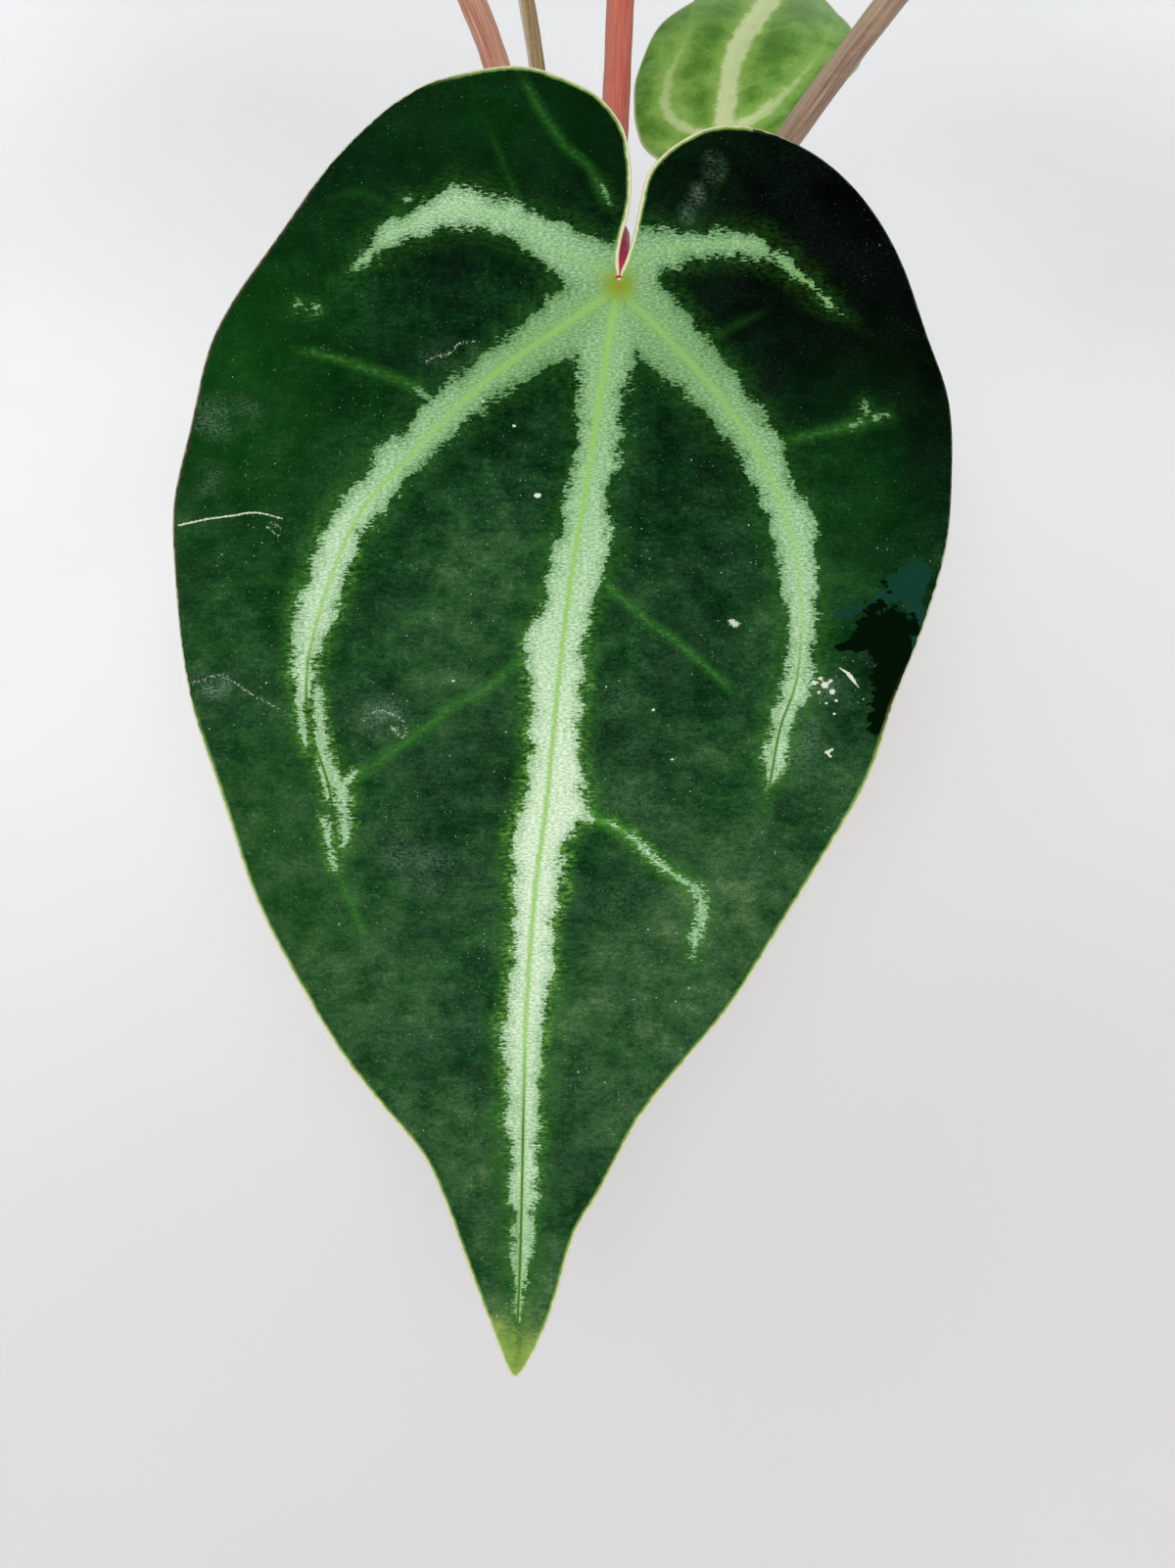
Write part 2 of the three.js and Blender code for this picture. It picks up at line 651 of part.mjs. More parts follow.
plant.add(paintedMesh('pot', potGeometry(), 0xa8623f, 0.9));
plant.add(paintedMesh('potting_mix', mixGeometry([toSolid(mixHole), grownStem]), 0x4a3526, 1));
plant.add(paintedMesh('stem', toGeometry(stem), 0x6d7a45, 0.7));

SHEATH.azimuths.forEach((degrees, i) => {
  const sheath = toSolid(sheathGeometry(THREE.MathUtils.degToRad(degrees))).subtract(grownStem);
  plant.add(paintedMesh(`dry_sheath_${i + 1}`, toGeometry(sheath), 0xa88a62, 0.85));
});

for (const leaf of LEAVES) {
  const posture = new THREE.Group();
  posture.position.set(...leaf.joint);
  posture.rotation.set(
    THREE.MathUtils.degToRad(leaf.pitch),
    THREE.MathUtils.degToRad(leaf.roll),
    THREE.MathUtils.degToRad(leaf.yaw),
    'ZXY',
  );
  posture.updateMatrix();
  posture.add(paintedMesh(`blade_${leaf.name}`, bladeGeometry(leaf), leaf.color, 0.6));
  plant.add(posture);

  const seat = toSolid(bladeGeometry(leaf, SEAT_GAP).applyMatrix4(posture.matrix));
  const wholeStalk = toSolid(tube(leaf.stalk, leaf.radii, STALK.sides, STALK.steps));
  const stalk = wholeStalk.subtract(seat).subtract(grownStem);
  plant.add(paintedMesh(`stalk_${leaf.name}`, toGeometry(stalk), leaf.stalkColor, 0.5));
}

export default plant;
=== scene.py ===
"""Potted anthurium hybrid: velvety heart-shaped leaves with silver veins, on long stalks from a clay pot.

The plant is dressed around its CAD frame. Objects are in metres with +Z up, the pot's underside rests at
the origin and the largest leaf hangs towards -Y. Sizes of the plant are written in millimetres and scaled
once, by MM. Leaf sizes are in the blade's own plane: u to the right of the upper face with the tip down,
v from the stalk joint towards the tip.
"""
import logging
import math
from dataclasses import dataclass, field
from enum import Enum, IntEnum

import bpy
import numpy as np
from bpy.types import Material, Node, NodeSocket, NodeTree, Object
from mathutils import Euler, Matrix, Vector
from mathutils.geometry import delaunay_2d_cdt


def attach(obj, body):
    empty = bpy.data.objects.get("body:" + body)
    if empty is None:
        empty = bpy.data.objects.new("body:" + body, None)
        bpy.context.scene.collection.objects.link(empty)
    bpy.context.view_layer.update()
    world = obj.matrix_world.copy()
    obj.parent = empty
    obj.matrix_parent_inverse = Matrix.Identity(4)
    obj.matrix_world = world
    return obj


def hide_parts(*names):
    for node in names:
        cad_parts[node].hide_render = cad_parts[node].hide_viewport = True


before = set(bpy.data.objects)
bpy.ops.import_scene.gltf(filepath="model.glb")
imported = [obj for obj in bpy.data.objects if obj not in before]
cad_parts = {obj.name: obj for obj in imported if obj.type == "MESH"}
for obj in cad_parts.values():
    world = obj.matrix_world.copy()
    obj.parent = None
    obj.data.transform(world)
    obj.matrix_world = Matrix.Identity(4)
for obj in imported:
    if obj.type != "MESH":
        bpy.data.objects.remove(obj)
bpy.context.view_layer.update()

LOG = logging.getLogger("potted_anthurium")

MM = 0.001
ROOT_BODY = "root"

Array = np.ndarray
Point = tuple[float, ...]
Colour = tuple[float, float, float, float]
Value = NodeSocket | float | Point


def srgb(red: int, green: int, blue: int) -> Colour:
    """Turns an eight-bit display colour into the linear colour that a shader takes.

    Args:
        red: red, 0 to 255.
        green: green, 0 to 255.
        blue: blue, 0 to 255.

    Returns:
        Linear red, green, blue and an alpha of 1.
    """
    shares = (value / 255 for value in (red, green, blue))
    linear = (s / 12.92 if s <= 0.04045 else ((s + 0.055) / 1.055) ** 2.4 for s in shares)
    return (*linear, 1.0)


# Curves and plane shapes


def catmull_rom(points: Array, times: Array, centripetal: bool = False) -> Array:
    """Points on a smooth curve through control points.

    Args:
        points: control points, one a row.
        times: places along the curve, 0 to 1, with equal shares between control points.
        centripetal: spaces the knots by the root of the chords, with straight run-ins at the ends.

    Returns:
        One point a row for each time.
    """
    last = len(points) - 1
    place = np.clip(times, 0, 1) * last
    start = np.minimum(place.astype(int), last - 1)
    t = (place - start)[:, None]
    if centripetal:
        padded = np.vstack([2 * points[0] - points[1], points, 2 * points[-1] - points[-2]])
    else:
        padded = np.vstack([points[0], points, points[-1]])
    p0, p1, p2, p3 = (padded[start + k] for k in range(4))
    if centripetal:
        chords = ((p0, p1), (p1, p2), (p2, p3))
        d0, d1, d2 = (np.sqrt(np.linalg.norm(b - a, axis=1))[:, None] for a, b in chords)
        v0 = ((p1 - p0) / d0 - (p2 - p0) / (d0 + d1) + (p2 - p1) / d1) * d1
        v1 = ((p2 - p1) / d1 - (p3 - p1) / (d1 + d2) + (p3 - p2) / d2) * d1
    else:
        v0, v1 = (p2 - p0) / 2, (p3 - p1) / 2
    return (2 * p1 - 2 * p2 + v0 + v1) * t**3 + (3 * p2 - 3 * p1 - 2 * v0 - v1) * t**2 + v0 * t + p1


def way_along(points: Array) -> Array:
    """How far along a line each of its corners lies."""
    return np.concatenate([[0], np.cumsum(np.linalg.norm(np.diff(points, axis=0), axis=1))])


class Trail:
    """A line drawn on the leaf's plane, which tells how near, how far along and on which side points lie."""

    fineness = 60
    batch = 4096

    def __init__(self, points: Array) -> None:
        """Keeps the points of the line and the way along it.

        Args:
            points: corners of the line, one a row, in millimetres.
        """
        self.points = points
        self.reach = way_along(points)

    @classmethod
    def smooth(cls, control: list[Point], step: float) -> "Trail":
        """A smooth line through control points.

        Args:
            control: control points of the line.
            step: about how far apart its corners lie, in millimetres.

        Returns:
            The line.
        """
        control = np.array(control, float)
        fine = catmull_rom(control, np.linspace(0, 1, cls.fineness * len(control)))
        reach = way_along(fine)
        stops = np.linspace(0, reach[-1], max(2, math.ceil(reach[-1] / step) + 1))
        return cls(np.column_stack([np.interp(stops, reach, fine[:, k]) for k in range(fine.shape[1])]))

    def nearest(self, places: Array) -> tuple[Array, Array, Array]:
        """Finds the foot of each place on the line.

        Args:
            places: points of the plane, one a row.

        Returns:
            Distance, way along the line, and the side: 1 where the place lies anticlockwise of the line
            on the leaf's plane, else -1.
        """
        corner = np.empty(len(places), int)
        squares = (self.points**2).sum(1)
        for begin in range(0, len(places), self.batch):
            part = places[begin:begin + self.batch]
            corner[begin:begin + self.batch] = (squares - 2 * part @ self.points.T).argmin(1)
        best = np.full(len(places), np.inf)
        reach = np.zeros(len(places))
        side = np.ones(len(places))
        for shift in (-1, 0):
            first = np.clip(corner + shift, 0, len(self.points) - 2)
            a, b = self.points[first], self.points[first + 1]
            run, offset = b - a, places - a
            length = np.maximum((run**2).sum(1), 1e-12)
            share = np.clip((run * offset).sum(1) / length, 0, 1)
            gap = np.linalg.norm(offset - run * share[:, None], axis=1)
            cross = run[:, 0] * offset[:, 1] - run[:, 1] * offset[:, 0]
            closer = gap < best
            best[closer] = gap[closer]
            reach[closer] = (self.reach[first] + share * np.sqrt(length))[closer]
            side[closer] = np.where(cross >= 0, 1.0, -1.0)[closer]
        return best, reach, side


def inside(outline: Array, places: Array) -> Array:
    """Tells which places lie inside a closed outline.

    Args:
        outline: corners of the outline, one a row, without the first one again at the end.
        places: points of the plane, one a row.

    Returns:
        True for each place inside.
    """
    ends = np.roll(outline, -1, axis=0)
    found = np.zeros(len(places), bool)
    for (x0, y0), (x1, y1) in zip(outline, ends):
        if y0 == y1:
            continue
        crossing = (places[:, 1] > y0) != (places[:, 1] > y1)
        found ^= crossing & (places[:, 0] < x0 + (places[:, 1] - y0) * (x1 - x0) / (y1 - y0))
    return found


def fill_outline(outline: Array, creases: list[Trail], spacing: float) -> tuple[Array, Array, list[int]]:
    """Covers a plane shape with even triangles that have edges along its creases.

    Args:
        outline: corners of the shape, one a row.
        creases: lines that triangle edges follow.
        spacing: distance between neighbouring points, in millimetres.

    Returns:
        Points, triangles that run anticlockwise, and the points' numbers round the outline.
    """
    clear, snap = 0.6 * spacing, 1e-5
    edge = Trail(np.vstack([outline, outline[:1]]))
    low, high = outline.min(0), outline.max(0)
    rows = np.arange(low[1], high[1], spacing * math.sqrt(3) / 2)
    across = np.arange(low[0], high[0] + spacing, spacing)
    grid = np.vstack([np.column_stack([across - spacing / 2 * (k % 2), np.full(len(across), y)])
                      for k, y in enumerate(rows)])
    grid = grid[inside(outline, grid)]
    grid = grid[edge.nearest(grid)[0] > clear]
    lines = []
    for crease in creases:
        kept = crease.points[inside(outline, crease.points)]
        kept = kept[edge.nearest(kept)[0] > clear]
        if len(kept) > 1:
            lines.append(kept)
            grid = grid[Trail(kept).nearest(grid)[0] > clear]
    points = [Vector(p) for part in (outline, *lines, grid) for p in part]
    edges = [(i, (i + 1) % len(outline)) for i in range(len(outline))]
    begin = len(outline)
    for line in lines:
        edges += [(begin + i, begin + i + 1) for i in range(len(line) - 1)]
        begin += len(line)
    found = delaunay_2d_cdt(points, edges, [], 0, snap, True)
    places = np.array(found[0])
    triangles = np.array([face for face in found[2] if len(face) == 3])
    triangles = triangles[inside(outline, places[triangles].mean(1))]
    a, b, c = (places[triangles[:, k]] for k in range(3))
    area = (b[:, 0] - a[:, 0]) * (c[:, 1] - a[:, 1]) - (b[:, 1] - a[:, 1]) * (c[:, 0] - a[:, 0])
    triangles[area < 0] = triangles[area < 0][:, ::-1]
    number = {origin: i for i, origins in enumerate(found[3]) for origin in origins}
    return places, triangles, [number[i] for i in range(len(outline))]


# Meshes


def build_object(name: str, vertices: Array, faces: list, materials: list[Material]) -> Object:
    """Makes a smooth mesh object at the origin.

    Args:
        name: the piece's name.
        vertices: corners in millimetres, one a row.
        faces: corner numbers of each face.
        materials: materials, in the order of the faces' numbers.

    Returns:
        The object, linked to the scene.
    """
    mesh = bpy.data.meshes.new(name)
    mesh.from_pydata(np.asarray(vertices, float) * MM, [], faces)
    for material in materials:
        mesh.materials.append(material)
    mesh.polygons.foreach_set("use_smooth", np.ones(len(mesh.polygons), bool))
    mesh.update()
    piece = bpy.data.objects.new(name, mesh)
    bpy.context.scene.collection.objects.link(piece)
    return piece


def store_vectors(piece: Object, name: str, values: Array) -> None:
    """Keeps three numbers for each corner of a mesh, under a name that a shader can read."""
    attribute = piece.data.attributes.new(name, "FLOAT_VECTOR", "POINT")
    attribute.data.foreach_set("vector", np.ascontiguousarray(values, np.float32).ravel())


def store_values(piece: Object, name: str, values: Array) -> None:
    """Keeps one number for each corner of a mesh, under a name that a node can read."""
    attribute = piece.data.attributes.new(name, "FLOAT", "POINT")
    attribute.data.foreach_set("value", np.ascontiguousarray(values, np.float32))


def freeze(piece: Object) -> Object:
    """Turns what a piece's modifiers make into its plain mesh, and removes them.

    Args:
        piece: the object.

    Returns:
        The object.
    """
    graph = bpy.context.evaluated_depsgraph_get()
    result = piece.evaluated_get(graph)
    mesh = bpy.data.meshes.new_from_object(result, preserve_all_data_layers=True, depsgraph=graph)
    piece.modifiers.clear()
    piece.data = mesh
    return piece


def join(pieces: list[Object], name: str) -> Object:
    """Joins mesh objects into the first of them.

    Args:
        pieces: the objects to join.
        name: the joined object's name.

    Returns:
        The joined object.
    """
    with bpy.context.temp_override(active_object=pieces[0], selected_editable_objects=pieces):
        bpy.ops.object.join()
    pieces[0].name = name
    return pieces[0]


def revolve(profile: list[Point], segments: int) -> tuple[Array, list[tuple[int, ...]]]:
    """Turns a closed side profile round the Z axis.

    Args:
        profile: radius and height of each corner; the first and the last lie on the axis.
        segments: number of faces round the axis.

    Returns:
        Corners and faces of the closed shape, with the faces outwards for a profile that runs upwards
        on the outside.
    """
    turn = np.linspace(0, 2 * math.pi, segments, endpoint=False)
    vertices = [(0.0, 0.0, profile[0][1])]
    for radius, z in profile[1:-1]:
        vertices += [(radius * math.cos(a), radius * math.sin(a), z) for a in turn]
    vertices.append((0.0, 0.0, profile[-1][1]))
    faces = []
    rings = len(profile) - 2
    for k in range(segments):
        after = (k + 1) % segments
        faces.append((0, 1 + after, 1 + k))
        for ring in range(rings - 1):
            base = 1 + ring * segments
            faces.append((base + k, base + after, base + segments + after, base + segments + k))
        base = 1 + (rings - 1) * segments
        faces.append((base + k, base + after, len(vertices) - 1))
    return np.array(vertices), faces


# Node trees


class NodeSheet:
    """Adds and links the nodes of one tree."""

    def __init__(self, tree: NodeTree) -> None:
        """Keeps the tree that the nodes go into."""
        self.tree = tree

    def node(self, kind: str, **settings: object) -> Node:
        """Adds a node.

        Args:
            kind: the node's type.
            settings: its properties.

        Returns:
            The node.
        """
        made = self.tree.nodes.new(kind)
        for name, value in settings.items():
            setattr(made, name, value)
        return made

    def feed(self, socket: NodeSocket, value: object) -> None:
        """Fills an input.

        Args:
            socket: the input.
            value: a socket to link it to, or a plain value.
        """
        if isinstance(value, NodeSocket):
            self.tree.links.new(value, socket)
        else:
            socket.default_value = value

    def fill(self, node: Node, values: tuple[Value, ...]) -> None:
        """Fills a node's inputs in their order."""
        for socket, value in zip(node.inputs, values):
            self.feed(socket, value)

    def made(self, kind: str, inputs: dict[str, object], **settings: object) -> Node:
        """Adds a node and fills its inputs by name.

        Args:
            kind: the node's type.
            inputs: sockets or values, by the input's name.
            settings: the node's properties.

        Returns:
            The node.
        """
        node = self.node(kind, **settings)
        for name, value in inputs.items():
            self.feed(next(s for s in node.inputs if s.name == name and s.enabled), value)
        return node

    def maths(self, operation: str, *values: Value) -> NodeSocket:
        """Works out a number from others.

        Args:
            operation: what is done, with CLAMP behind it to keep the result within 0 and 1.
            values: sockets or numbers, in the order of the node's inputs.

        Returns:
            The result.
        """
        node = self.node("ShaderNodeMath", operation=operation.removesuffix(" CLAMP"))
        node.use_clamp = operation.endswith(" CLAMP")
        self.fill(node, values)
        return node.outputs[0]

    def vectors(self, operation: str, *values: Value) -> NodeSocket:
        """Works out a vector, or a distance or product that is one number, from vectors.

        Args:
            operation: what is done.
            values: sockets or vectors, in the order of the node's inputs.

        Returns:
            The result.
        """
        node = self.node("ShaderNodeVectorMath", operation=operation)
        self.fill(node, values)
        return node.outputs["Value" if operation in ("DISTANCE", "DOT_PRODUCT") else "Vector"]

    def times(self, first: Value, *others: Value) -> NodeSocket:
        """The product of numbers.

        Args:
            first: a socket or a value.
            others: what it is multiplied by, one after the other.

        Returns:
            The product.
        """
        for other in others:
            first = self.maths("MULTIPLY", first, other)
        return first

    def centred(self, value: Value) -> NodeSocket:
        """Noise that lies round 0.5, moved to lie round 0."""
        return self.maths("SUBTRACT", value, 0.5)

    def scaled(self, vector: Value, factors: Value) -> NodeSocket:
        """A vector with each part multiplied."""
        return self.vectors("MULTIPLY", vector, factors)

    def split(self, vector: Value) -> list[NodeSocket]:
        """The three parts of a vector."""
        return list(self.made("ShaderNodeSeparateXYZ", {"Vector": vector}).outputs)

    def ramped(self, value: Value, low: Value, high: Value, start: Value = 0.0,
               end: Value = 1.0) -> NodeSocket:
        """Leads a number smoothly from start to end while another goes from low to high.

        Args:
            value: the number that leads.
            low: where the ramp begins.
            high: where the ramp is over.
            start: result up to low.
            end: result from high on.

        Returns:
            The result.
        """
        node = self.node("ShaderNodeMapRange", interpolation_type="SMOOTHSTEP")
        self.fill(node, (value, low, high, start, end))
        return node.outputs[0]

    def blend(self, share: Value, first: Value, second: Value) -> NodeSocket:
        """Mixes two colours.

        Args:
            share: how much of the second shows.
            first: the colour below.
            second: the colour above.

        Returns:
            The mixed colour.
        """
        node = self.node("ShaderNodeMix", data_type="RGBA")
        for number, item in ((0, share), (6, first), (7, second)):
            self.feed(node.inputs[number], item)
        return node.outputs[2]

    def random_vector(self, low: Value, high: Value, seed: Value) -> NodeSocket:
        """A vector that is drawn anew for each element.

        Args:
            low: smallest parts.
            high: largest parts.
            seed: fixed seed of the draw.

        Returns:
            The vector.
        """
        node = self.node("FunctionNodeRandomValue", data_type="FLOAT_VECTOR")
        self.fill(node, (low, high))
        self.feed(node.inputs["Seed"], seed)
        return node.outputs[0]

    def noise(self, vector: Value, scale: Value, detail: float = 2.0, roughness: float = 0.5) -> NodeSocket:
        """Cloudy noise from 0 to 1, around 0.5."""
        inputs = {"Vector": vector, "Scale": scale, "Detail": detail, "Roughness": roughness}
        return self.made("ShaderNodeTexNoise", inputs).outputs[0]

    def stretched(self, vector: Value, factors: Point, detail: float, roughness: float) -> NodeSocket:
        """Noise that is squeezed or stretched along each axis."""
        return self.noise(self.scaled(vector, factors), 1.0, detail, roughness)

    def layered(self, colour: Value, *layers: tuple[Value, Value]) -> NodeSocket:
        """Lays colours over one another.

        Args:
            colour: the colour below.
            layers: the share and the colour of each layer, from the lowest up.

        Returns:
            The colour that shows.
        """
        for share, tint in layers:
            colour = self.blend(share, colour, tint)
        return colour


@dataclass(frozen=True)
class Socket:
    """One named input or output of a node group."""

    name: str
    kind: str = "Float"
    value: float = 0.0


class GroupSheet(NodeSheet):
    """A node group with named inputs and outputs."""

    def __init__(self, name: str, kind: str, inputs: list[Socket], outputs: list[Socket]) -> None:
        """Makes the group and its sockets.

        Args:
            name: the group's name.
            kind: the type of its tree.
            inputs: what goes in.
            outputs: what comes out.
        """
        super().__init__(bpy.data.node_groups.new(name, kind))
        for way, sockets in (("INPUT", inputs), ("OUTPUT", outputs)):
            for socket in sockets:
                item = self.tree.interface.new_socket(
                    name=socket.name, in_out=way, socket_type="NodeSocket" + socket.kind)
                if socket.kind in ("Float", "Int"):
                    item.default_value = int(socket.value) if socket.kind == "Int" else socket.value
        self.entry = self.node("NodeGroupInput").outputs
        self.exit = self.node("NodeGroupOutput").inputs

    def finish(self, **results: NodeSocket) -> NodeTree:
        """Links the group's outputs.

        Args:
            results: sockets by the output's name, with spaces written as underscores.

        Returns:
            The group.
        """
        for name, socket in results.items():
            self.tree.links.new(socket, self.exit[name.replace("_", " ")])
        return self.tree


class Effects:
    """Effects that several finishes share, each a shader node group that is built once."""

    def __init__(self) -> None:
        """Builds the groups."""
        self.streaks = self.build_streaks()
        self.bristles = self.build_bristles()
        self.specks = self.build_specks()
        self.relief = self.build_relief()
        self.patches = self.build_patches()

    @staticmethod
    def build_streaks() -> NodeTree:
        """Short fine streaks: noise with more contrast, squeezed by a vector.

        Returns:
            The group.
        """
        sheet = GroupSheet("Fine streaks", "ShaderNodeTree",
                           [Socket("Place", "Vector"), Socket("Squeeze", "Vector"),
                            Socket("Contrast", value=0.5)],
                           [Socket("Streak")])
        squeezed = sheet.scaled(sheet.entry["Place"], sheet.entry["Squeeze"])
        fine = sheet.noise(squeezed, 1.0, detail=3.0, roughness=0.65)
        spread = sheet.times(sheet.centred(fine), sheet.entry["Contrast"])
        return sheet.finish(Streak=sheet.maths("ADD CLAMP", spread, 0.5))

    @staticmethod
    def build_bristles() -> NodeTree:
        """Turns the depth in a band into a mask with a bristly edge, and a soft halo outside it.

        Returns:
            The group.
        """
        sheet = GroupSheet("Bristly band", "ShaderNodeTree",
                           [Socket("Depth"), Socket("Place", "Vector"), Socket("Wander", value=1.2),
                            Socket("Bristle", value=1.6), Socket("Reach", value=3.0)],
                           [Socket("Mask"), Socket("Halo"), Socket("Moved Depth")])
        place = sheet.entry["Place"]
        slow = sheet.centred(sheet.noise(place, 0.3, detail=3.0))
        quick = sheet.centred(sheet.stretched(place, (0.95, 2.7, 1.0), 3.0, 0.62))
        moved = sheet.maths("MULTIPLY_ADD", slow, sheet.entry["Wander"], sheet.entry["Depth"])
        tufted = sheet.ramped(sheet.noise(place, 0.16, 2.0), 0.36, 0.64, 0.45, 1.5)
        moved = sheet.maths("MULTIPLY_ADD", sheet.times(quick, tufted), sheet.entry["Bristle"], moved)
        mask = sheet.ramped(moved, -0.14, 0.16)
        outer = sheet.times(sheet.entry["Reach"], -1.0)
        halo = sheet.ramped(moved, outer, 0.0)
        return sheet.finish(Mask=mask, Halo=halo, Moved_Depth=moved)

    @staticmethod
    def build_specks() -> NodeTree:
        """Scattered round specks. Share is how many of the cells have one.

        Returns:
            The group.
        """
        sheet = GroupSheet("Specks", "ShaderNodeTree",
                           [Socket("Place", "Vector"), Socket("Cells", value=0.5), Socket("Size", value=0.12),
                            Socket("Share", value=0.3)],
                           [Socket("Mask"), Socket("Chance")])
        inputs = {"Vector": sheet.entry["Place"], "Scale": sheet.entry["Cells"]}
        cells = sheet.made("ShaderNodeTexVoronoi", inputs)
        chance = sheet.split(cells.outputs["Color"])[0]
        inner = sheet.times(sheet.entry["Size"], 0.5)
        spot = sheet.ramped(cells.outputs["Distance"], inner, sheet.entry["Size"], 1.0, 0.0)
        chosen = sheet.maths("LESS_THAN", chance, sheet.entry["Share"])
        return sheet.finish(Mask=sheet.times(spot, chosen), Chance=chance)

    @staticmethod
    def build_relief() -> NodeTree:
        """Grainy height of a natural surface, from coarse swells to fine grain.

        Returns:
            The group.
        """
        sheet = GroupSheet("Grain relief", "ShaderNodeTree",
                           [Socket("Place", "Vector"), Socket("Coarse", value=1.0), Socket("Fine", value=8.0),
                            Socket("Fine Share", value=0.4)],
                           [Socket("Height")])
        swell = sheet.noise(sheet.entry["Place"], sheet.entry["Coarse"], detail=3.0)
        grain = sheet.noise(sheet.entry["Place"], sheet.entry["Fine"], detail=2.0, roughness=0.7)
        height = sheet.maths("MULTIPLY_ADD", grain, sheet.entry["Fine Share"], swell)
        return sheet.finish(Height=height)

    @staticmethod
    def build_patches() -> NodeTree:
        """Cloudy patches of a size, with an edge that Softness widens and a Level that grows them.

        Returns:
            The group.
        """
        sheet = GroupSheet("Cloudy patches", "ShaderNodeTree",
                           [Socket("Place", "Vector"), Socket("Scale", value=0.1), Socket("Level", value=0.5),
                            Socket("Softness", value=0.1)],
                           [Socket("Mask")])
        cloud = sheet.noise(sheet.entry["Place"], sheet.entry["Scale"], detail=5.0, roughness=0.6)
        edge = sheet.maths("SUBTRACT", 1.0, sheet.entry["Level"])
        low = sheet.maths("SUBTRACT", edge, sheet.entry["Softness"])
        high = sheet.maths("ADD", edge, sheet.entry["Softness"])
        return sheet.finish(Mask=sheet.ramped(cloud, low, high))


class MaterialSheet(NodeSheet):
    """The nodes of one material, around its Principled shader."""

    def __init__(self, name: str, effects: Effects) -> None:
        """Makes the material.

        Args:
            name: the material's name.
            effects: the shared node groups.
        """
        self.material = bpy.data.materials.new(name)
        self.material.use_nodes = True
        super().__init__(self.material.node_tree)
        self.effects = effects
        self.shader = self.tree.nodes["Principled BSDF"]

    def constant(self, **values: object) -> None:
        """Sets the shader's own sockets, with spaces written as underscores."""
        for name, value in values.items():
            self.shader.inputs[name.replace("_", " ")].default_value = value

    def attribute(self, name: str) -> NodeSocket:
        """The vector that a mesh keeps under a name."""
        return self.node("ShaderNodeAttribute", attribute_name=name).outputs["Vector"]

    def value(self, name: str) -> NodeSocket:
        """The number that a mesh keeps under a name."""
        return self.node("ShaderNodeAttribute", attribute_name=name).outputs["Fac"]

    def parts(self, name: str) -> list[NodeSocket]:
        """The three parts of a vector that a mesh keeps under a name."""
        return self.split(self.attribute(name))

    def leaf_plane(self) -> tuple[NodeSocket, NodeSocket]:
        """The place on a blade's plane, and how far it is from the blade's margin."""
        place = self.attribute("leaf_place")
        return self.scaled(place, (1, 1, 0)), self.split(place)[2]

    def object_millimetres(self) -> NodeSocket:
        """The object's own coordinates, in millimetres."""
        return self.scaled(self.node("ShaderNodeTexCoord").outputs["Object"], (1 / MM,) * 3)

    def effect(self, tree: NodeTree, **inputs: Value) -> Node:
        """Places a shared effect.

        Args:
            tree: the effect's group.
            inputs: sockets or values by the input's name, with spaces written as underscores.

        Returns:
            The group's node.
        """
        node = self.node("ShaderNodeGroup", node_tree=tree)
        for name, value in inputs.items():
            self.feed(node.inputs[name.replace("_", " ")], value)
        return node

    def applied(self, tree: NodeTree, **inputs: Value) -> NodeSocket:
        """The first result of a shared effect."""
        return self.effect(tree, **inputs).outputs[0]

    def streak(self, place: Value, squeeze: Point, contrast: float) -> NodeSocket:
        """Fine streaks at a place, squeezed by a vector."""
        return self.applied(self.effects.streaks, Place=place, Squeeze=squeeze, Contrast=contrast)

    def gradient(self, value: Value, stops: tuple[tuple[float, Colour], ...]) -> NodeSocket:
        """A colour that follows a number through stops.

        Args:
            value: the number.
            stops: a number and a colour for each stop, in order.

        Returns:
            The colour.
        """
        node = self.made("ShaderNodeValToRGB", {"Fac": value})
        elements = node.color_ramp.elements
        while len(elements) < len(stops):
            elements.new(1.0)
        for element, (place, colour) in zip(elements, stops):
            element.position = place
            element.color = colour
        return node.outputs[0]

    def finish(self, colour: Value, roughness: Value, height: Value | None = None,
               depth: float = 0.1) -> Material:
        """Links the surface's colour, roughness and relief.

        Args:
            colour: base colour.
            roughness: roughness.
            height: relief from 0 to 1, if it has any.
            depth: depth of the relief, in millimetres.

        Returns:
            The material.
        """
        self.feed(self.shader.inputs["Base Color"], colour)
        self.feed(self.shader.inputs["Roughness"], roughness)
        if height is not None:
            bump = self.made("ShaderNodeBump", {"Strength": 1.0, "Distance": depth * MM, "Height": height})
            self.feed(self.shader.inputs["Normal"], bump.outputs[0])
        return self.material


def grow(piece: Object, tree: NodeTree, **sizes: object) -> Object:
    """Runs a geometry node tree on a piece and keeps what it makes as the piece's plain mesh.

    Args:
        piece: the object that the tree starts from.
        tree: the tree.
        sizes: values of the tree's inputs by name, with spaces written as underscores.

    Returns:
        The piece.
    """
    modifier = piece.modifiers.new(tree.name, "NODES")
    modifier.node_group = tree
    for item in tree.interface.items_tree:
        key = item.name.replace(" ", "_")
        if item.item_type == "SOCKET" and item.in_out == "INPUT" and key in sizes:
            modifier[item.identifier] = sizes[key]
    return freeze(piece)


class Lay(Enum):
    """How a scattered grain lies on its surface."""

    STANDING = "standing"
    TUMBLED = "tumbled"


class Grain(Enum):
    """The shape of a scattered grain."""

    LUMP = "lump"
    HAIR = "hair"


